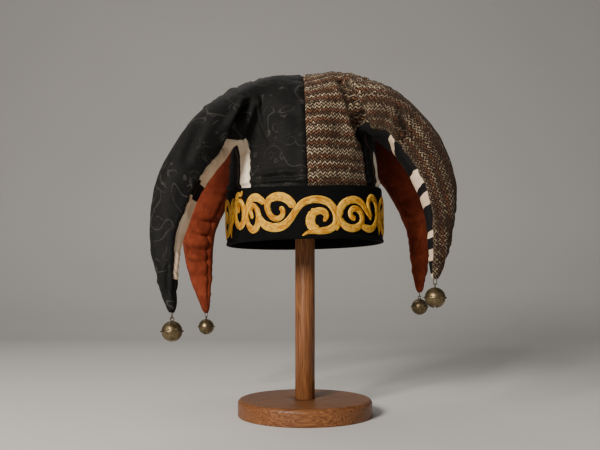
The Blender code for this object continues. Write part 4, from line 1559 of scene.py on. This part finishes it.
    def relief(self, mesh: bpy.types.Mesh, points: np.ndarray, normals: np.ndarray) -> np.ndarray:
        """How far each point moves along its normal: seams, gathers, folds and slack.

        Args:
            mesh: The fine surface.
            points: Its points in millimetres.
            normals: Its normals.

        Returns:
            The heights in millimetres.
        """
        distance, nearest = self.seams(mesh, points)
        seam = (self.lip_height * hump(distance, self.lip_place, self.lip_width)
                - self.seam_depth * hump(distance, 0.0, self.seam_width))
        gathers = self.unevenness(GATHER_WAVES, nearest)
        gathers *= hump(distance, self.gather_place, self.gather_width)
        slack = self.unevenness(SLACK_WAVES, [Vector(point) for point in points])
        turns = np.arctan2(points[:, 0] / BAND_HALF_WIDTH, -points[:, 1] / BAND_HALF_DEPTH)
        above = points[:, 2] - BAND_BOTTOM - BAND_FRONT_HEIGHT - BAND_SIDE_RISE * np.sin(turns) ** 2
        wall_reach = np.hypot((BAND_HALF_WIDTH + self.wall_slack) * np.sin(turns),
                              (BAND_HALF_DEPTH + self.wall_slack) * np.cos(turns))
        on_wall = np.hypot(points[:, 0], points[:, 1]) < wall_reach
        puff = np.where(on_wall, self.puff_height * hump(above, self.puff_place, self.puff_width), 0.0)
        total = seam + gathers + slack + puff
        picture = self.seen(points)
        sight = points - np.array(CAMERA_PLACE)
        facing = -(normals * sight).sum(axis=1) / np.linalg.norm(sight, axis=1)
        for fold in FOLDS:
            total += self.fold_relief(fold, points, picture, facing)
        settle = np.clip((above - 1.0) / self.settle_height, 0.0, 1.0)
        total *= np.where(on_wall, settle, 1.0)
        tips = np.array([lobe.tip() for lobe in self.lobes.values()])
        to_tip = np.linalg.norm(points[:, None, :] - tips[None, :, :], axis=2).min(axis=1)
        total *= np.clip((to_tip - self.still_tip) / self.tip_fade, 0.05, 1.0)
        return total

    def gather_tips(self, points: np.ndarray) -> None:
        """Draws the cloth in round the bell's thread, so that each lobe ends rounded.

        Args:
            points: The points of the fine surface in millimetres, which are moved.
        """
        for lobe in self.lobes.values():
            tip = np.array(lobe.tip())
            axis = np.array((lobe.middle(-2) - lobe.tip()).normalized())
            up_axis = (points - tip) @ axis
            off_axis = points - tip - up_axis[:, None] * axis
            near_axis = np.linalg.norm(off_axis, axis=1) < self.gathered_reach
            near = near_axis & (up_axis < self.gathered_length)
            share = 1.0 - np.clip(up_axis[near] / self.gathered_length, 0.0, 1.0)
            width = self.gathered_share + (1.0 - self.gathered_share) * np.sqrt(1.0 - share ** 2)
            points[near] -= off_axis[near] * (1.0 - width)[:, None]

    def cloth_places(self, mesh: bpy.types.Mesh, points: np.ndarray) -> np.ndarray:
        """Turns the column and row of each face corner into millimetres along and across the cloth.

        Args:
            mesh: The fine surface.
            points: Its points in millimetres.

        Returns:
            The cloth coordinates of the face corners.
        """
        fine = 2 ** self.smoothing
        spots = np.rint(read(mesh.uv_layers["cloth"].data, "uv", np.float32, 2) * fine).astype(int)
        verts = read(mesh.loops, "vertex_index", np.int32)
        owner = np.repeat(read(mesh.polygons, "material_index", np.int32),
                          read(mesh.polygons, "loop_total", np.int32))
        cloth = np.zeros((len(verts), 2))
        low = len(self.wall) * fine
        for index in range(len(self.panels)):
            mine = owner == index
            columns = spots[mine, 0].max() + 1
            rows = spots[mine, 1].max() + low + 1
            table = np.full((columns, rows), -1, int)
            table[spots[mine, 0], spots[mine, 1] + low] = verts[mine]
            upper = points[table[:, low:]]
            widths = np.linalg.norm(np.diff(upper, axis=0), axis=2).mean(axis=1)
            along = np.concatenate([[0.0], np.cumsum(widths)])
            across = np.zeros((columns, rows))
            across[:, low + 1:] = np.cumsum(np.linalg.norm(np.diff(upper, axis=1), axis=2), axis=1)
            wall_columns = self.crown_columns * fine + 1
            lower = points[table[:wall_columns, :low + 1]]
            drops = np.linalg.norm(np.diff(lower, axis=1), axis=2)[:, ::-1]
            across[:wall_columns, :low] = -np.cumsum(drops, axis=1)[:, ::-1]
            cloth[mine, 0] = along[spots[mine, 0]]
            cloth[mine, 1] = across[spots[mine, 0], spots[mine, 1] + low]
        return cloth / CLOTH_UNIT

    def finishes(self) -> dict[str, bpy.types.Material]:
        """The cloth of each panel."""
        # The rust velveteen carries painted shade towards each lobe's root.
        rust = Velvet("velveteen_rust", deep=(0.055, 0.007, 0.003), brushed=(0.26, 0.052, 0.023),
                      bloom=(1.0, 0.5, 0.32), bloom_weight=0.08, rib_pitch=1.6, painted_root_shade_reach=224.0).build()
        left = Stripes("stripes_left", creams=((48.0, 165.0), (183.0, 263.0)), slant=0.12, highlight_line=41.0,
                       arch=(50.0, 400.0))
        right = Stripes(
            "stripes_right",
            creams=((24.0, 42.0), (121.0, 130.0), (168.0, 183.0), (191.0, 203.0), (228.0, 233.5),
                    (244.0, 255.0), (268.0, 276.0)),
            slant=-0.06, highlight_line=50.0, arch=(33.0, -14.0))
        by_name = {panel.name: rust for panel in self.panels}
        by_name["damask_front_left"] = Damask("damask_charcoal").build()
        by_name["tweed_front_right"] = Tweed("tweed_brown").build()
        by_name["stripes_left"] = left.build()
        by_name["stripes_right"] = right.build()
        return by_name

    def build(self) -> None:
        """Builds the panels."""
        mesh = self.smooth_surface()
        points = read(mesh.vertices, "co", np.float32, 3).astype(float)
        normals = read(mesh.vertices, "normal", np.float32, 3)
        cloth = self.cloth_places(mesh, points)
        points += normals * self.relief(mesh, points, normals)[:, None]
        self.gather_tips(points)
        mesh.uv_layers["cloth"].data.foreach_set("uv", cloth.astype(np.float32).ravel())
        leaned = np.array([place(Vector(point)) for point in points], np.float32)
        mesh.vertices.foreach_set("co", leaned.ravel())
        mesh.update()
        finishes = self.finishes()
        lining = PlainWeave("lining_black", dark=(0.006, 0.006, 0.007), light=(0.03, 0.028, 0.03)).build()
        for index, panel in enumerate(self.panels):
            solid = bmesh.new()
            solid.from_mesh(mesh)
            others = [face for face in solid.faces if face.material_index != index]
            bmesh.ops.delete(solid, geom=others, context="FACES")
            for face in solid.faces:
                face.material_index = 0
            piece = finish_piece(
                solid, panel.name, panel.slot, [finishes[panel.name], lining], (panel.node,), sharp=180.0)
            thickness = piece.modifiers.new("cloth", "SOLIDIFY")
            thickness.thickness = self.cloth_thickness * MM
            thickness.offset = -1.0
            thickness.material_offset = 1
        bpy.data.meshes.remove(mesh)


@dataclass
class Bell:
    """A round bell of aged brass with its pellet, hung by thread from the tip of a lobe."""

    lobe_name: str
    lobe: Lobe
    radius: float = 10.0
    wall: float = 1.0
    rim: float = 1.2
    slot_width: float = 1.8
    slot_reach: float = 5.0
    hole_radius: float = 1.9
    slot_turn: float = 35.0
    shank_radius: float = 1.8
    shank_wire: float = 0.55
    pellet_radius: float = 2.4
    thread: float = 0.35
    tie_drop: float = 18.0
    knot_radius: float = 2.0
    gap: float = 0.3
    steps: int = 48
    steps_round: int = 28
    steps_wire: int = 10

    def centre(self) -> Vector:
        """The middle of the bell."""
        return place(self.lobe.tip()) - UP * self.tie_drop

    def body(self) -> bmesh.types.BMesh:
        """The bell's outside, with its rim and two turned lines above and below it."""
        half_rim = 0.7
        turn = math.degrees(math.asin(half_rim / self.radius))
        profile = arc((0.0, 0.0), self.radius, -90.0, -turn - 9.0, 12)
        profile += [(self.radius - 0.25, -1.7), (self.radius + 0.02, -half_rim - 0.25),
                    (self.radius + self.rim - 0.2, -half_rim), (self.radius + self.rim, -half_rim * 0.5),
                    (self.radius + self.rim, half_rim * 0.5), (self.radius + self.rim - 0.2, half_rim),
                    (self.radius + 0.02, half_rim + 0.25), (self.radius - 0.25, 1.7)]
        profile += arc((0.0, 0.0), self.radius, turn + 9.0, 90.0, 12)
        return spin_profile(profile, self.steps)

    def ring(self, centre: Vector, ring_radius: float, wire: float, turn: float, stretch: float = 0.0
             ) -> bmesh.types.BMesh:
        """A wire ring in an upright plane.

        Args:
            centre: Its middle.
            ring_radius: The radius of its middle line.
            wire: The radius of its wire.
            turn: The angle of its plane about Z.
            stretch: How far it is drawn out into a link.

        Returns:
            The ring.
        """
        ring = bmesh.new()

        def point(column: float, row: float) -> Vector:
            """A point of the wire's surface."""
            angle = math.tau * column / self.steps_round
            around = math.tau * row / self.steps_wire
            outwards = Vector((math.cos(angle), 0.0, math.sin(angle)))
            half = math.copysign(stretch / 2.0, math.sin(angle + 0.01))
            spot = outwards * (ring_radius + wire * math.cos(around)) + Vector((0.0, 0.0, half))
            spot.y = wire * math.sin(around)
            return spot

        lay_grid(ring, self.steps_round, self.steps_wire, point,
                 lambda column, row: (column * 0.01, row * 0.003))
        weld(ring, 0.001)
        bmesh.ops.transform(ring, matrix=Matrix.Translation(centre) @ Matrix.Rotation(turn, 4, "Z"),
                            verts=ring.verts)
        return ring

    def cutters(self) -> list[bmesh.types.BMesh]:
        """The hollow, the slot and the two holes."""
        hollow = spin_profile(arc((0.0, 0.0), self.radius - self.wall, -90.0, 90.0, 20), self.steps)
        slot = bmesh.new()
        bmesh.ops.create_cube(slot, size=1.0)
        bmesh.ops.scale(slot, vec=(2.0 * self.slot_reach, self.slot_width, self.radius), verts=slot.verts)
        bmesh.ops.translate(slot, vec=(0.0, 0.0, -0.8 * self.radius), verts=slot.verts)
        cut = [hollow, slot]
        for side in (-1.0, 1.0):
            hole = bmesh.new()
            bmesh.ops.create_cone(hole, cap_ends=True, segments=24, radius1=self.hole_radius,
                                  radius2=self.hole_radius, depth=self.radius)
            bmesh.ops.translate(hole, vec=(self.slot_reach * side, 0.0, -0.9 * self.radius), verts=hole.verts)
            cut.append(hole)
        return cut

    def build(self, brass: bpy.types.Material, steel: bpy.types.Material, thread: bpy.types.Material) -> None:
        """Builds the bell, its pellet and its tie.

        Args:
            brass: The bell's finish.
            steel: The pellet's finish.
            thread: The tie's finish.
        """
        slot_turn = math.radians(self.lobe.plan_angle + self.slot_turn)
        centre = self.centre()
        hang = Matrix.Translation(centre) @ Matrix.Rotation(slot_turn, 4, "Z")
        body = self.body()
        bmesh.ops.transform(body, matrix=hang, verts=body.verts)
        blank = add_object("bell_blank", to_mesh(body, "bell_blank"))
        tools = [blank]
        shank_centre = centre + UP * (self.radius + self.shank_radius - 0.1)
        for cutter in self.cutters():
            bmesh.ops.transform(cutter, matrix=hang, verts=cutter.verts)
            tools.append(add_object("bell_cutter", to_mesh(cutter, "bell_cutter")))
            cut = blank.modifiers.new("cut", "BOOLEAN")
            cut.operation = "DIFFERENCE"
            cut.object = tools[-1]
        shank = self.ring(shank_centre, self.shank_radius, self.shank_wire, slot_turn)
        tools.append(add_object("shank", to_mesh(shank, "shank")))
        join = blank.modifiers.new("join", "BOOLEAN")
        join.operation = "UNION"
        join.object = tools[-1]
        bpy.context.view_layer.update()
        cut_mesh = modified_mesh(blank)
        for helper in tools:
            bpy.data.objects.remove(helper, do_unlink=True)
        bell = bmesh.new()
        bell.from_mesh(cut_mesh)
        bpy.data.meshes.remove(cut_mesh)
        name = self.lobe_name
        finish_piece(bell, f"brass_bell_{name}", Slot.BRASS, [brass], (f"bell_{name}",), sharp=35.0)
        pellet = bmesh.new()
        bmesh.ops.create_icosphere(pellet, subdivisions=3, radius=self.pellet_radius)
        drop = self.radius - self.wall - self.pellet_radius - self.gap
        bmesh.ops.translate(pellet, vec=centre - UP * drop, verts=pellet.verts)
        finish_piece(pellet, f"pellet_{name}", Slot.STEEL, [steel], (f"bell_pellet_{name}",))
        self.make_tie(shank_centre, slot_turn + math.pi / 2.0, thread)

    def make_tie(self, shank_centre: Vector, turn: float, thread: bpy.types.Material) -> None:
        """The knot in the tip and the loop of thread that holds the bell.

        Args:
            shank_centre: The middle of the shank's ring.
            turn: The angle of the loop's plane about Z.
            thread: The finish.
        """
        tip = place(self.lobe.tip())
        loop_bottom = shank_centre.z + self.shank_radius - self.shank_wire - self.gap - self.thread
        loop_radius = 1.6
        loop_top = tip.z + 1.2
        stretch = loop_top - loop_bottom - 2.0 * loop_radius
        middle = Vector((tip.x, tip.y, (loop_top + loop_bottom) / 2.0))
        tie = self.ring(middle, loop_radius, self.thread, turn, stretch)
        knot = bmesh.ops.create_icosphere(tie, subdivisions=3, radius=self.knot_radius)["verts"]
        bmesh.ops.scale(tie, vec=(1.0, 1.0, 0.9), verts=knot)
        bmesh.ops.translate(tie, vec=tip + UP * self.knot_radius, verts=knot)
        finish_piece(tie, f"thread_{self.lobe_name}", Slot.THREAD, [thread], (f"bell_tie_{self.lobe_name}",))


@dataclass
class Studio:
    """The pale floor, the soft lights and the camera. Its sizes are in metres."""

    half_floor: float = 4.0
    lit_height: float = 0.24

    def camera(self) -> None:
        """The camera of the picture."""
        data = bpy.data.cameras.new("camera")
        data.sensor_width = 36.0
        data.lens = FOCAL_POINTS / PICTURE_WIDTH * data.sensor_width
        data.shift_y = (HORIZON_ROW - PICTURE_HEIGHT / 2.0) / PICTURE_WIDTH
        data.clip_start = 0.02
        camera = add_object("camera", data)
        camera.location = CAMERA_PLACE * MM
        camera.rotation_euler = (math.radians(90.0), 0.0, 0.0)
        bpy.context.scene.camera = camera

    def floor(self) -> None:
        """A pale sweep that curves up behind the hat."""
        line = [(-3.0, 0.0), (1.2, 0.0), (1.5, 0.05), (1.72, 0.2), (1.84, 0.45), (1.86, 3.0)]
        sweep = bmesh.new()
        lay_grid(sweep, 1, len(line) - 1,
                 lambda column, row: Vector(((2.0 * column - 1.0) * self.half_floor, *line[round(row)])),
                 lambda column, row: (column, row))
        bmesh.ops.recalc_face_normals(sweep, faces=sweep.faces)
        mesh = to_mesh(sweep, "floor")
        graph = Graph("floor_paper")
        mottle = graph.grain(3.0, 3.0)
        mesh.materials.append(graph.dress(
            base_color=graph.blend(mottle, (0.62, 0.60, 0.57), (0.66, 0.64, 0.61)), roughness=0.8))
        mesh.shade_smooth()
        add_object("floor", mesh)

    def light(self, name: str, spot: tuple[float, float, float], size: float, power: float,
              colour: tuple[float, float, float]) -> None:
        """A soft square light that faces the crown.

        Args:
            name: Its name.
            spot: Its place in metres.
            size: Its side in metres.
            power: Its power in watts.
            colour: Its colour.
        """
        data = bpy.data.lights.new(name, "AREA")
        data.size = size
        data.energy = power
        data.color = colour
        lamp = add_object(name, data)
        lamp.location = spot
        lamp.rotation_euler = (UP * self.lit_height - Vector(spot)).to_track_quat("-Z", "Y").to_euler()

    def build(self) -> None:
        """Sets up the studio."""
        self.camera()
        self.floor()
        world = bpy.data.worlds.new("soft_room")
        world.use_nodes = True
        background = world.node_tree.nodes["Background"]
        background.inputs[0].default_value = (0.86, 0.9, 1.0, 1.0)
        background.inputs[1].default_value = 0.07
        bpy.context.scene.world = world
        self.light("key", (-0.8, -1.4, 0.8), size=0.42, power=43.0, colour=(1.0, 0.95, 0.88))
        self.light("fill", (1.2, -1.0, 0.5), size=0.9, power=2.5, colour=(1.0, 0.97, 0.94))
        self.light("top", (-0.3, 0.5, 1.4), size=0.8, power=5.0, colour=(1.0, 0.97, 0.93))


def main() -> None:
    """Builds the hat, its stand and the studio."""
    Studio().build()
    Stand().build()
    Headband().build()
    ScrollEmbroidery().build()
    hat = HatShell()
    hat.build()
    brass = AgedMetal("brass_aged", bright=(0.21, 0.155, 0.08), dark=(0.03, 0.023, 0.013)).build()
    steel = AgedMetal("steel_pellet", bright=(0.42, 0.41, 0.39), dark=(0.14, 0.12, 0.1)).build()
    thread = PlainWeave(
        "thread_dark", dark=(0.015, 0.011, 0.008), light=(0.06, 0.045, 0.03), pitch=0.5).build()
    for name, lobe in hat.lobes.items():
        Bell(name, lobe).build(brass, steel, thread)


if __name__ == "__main__":
    main()
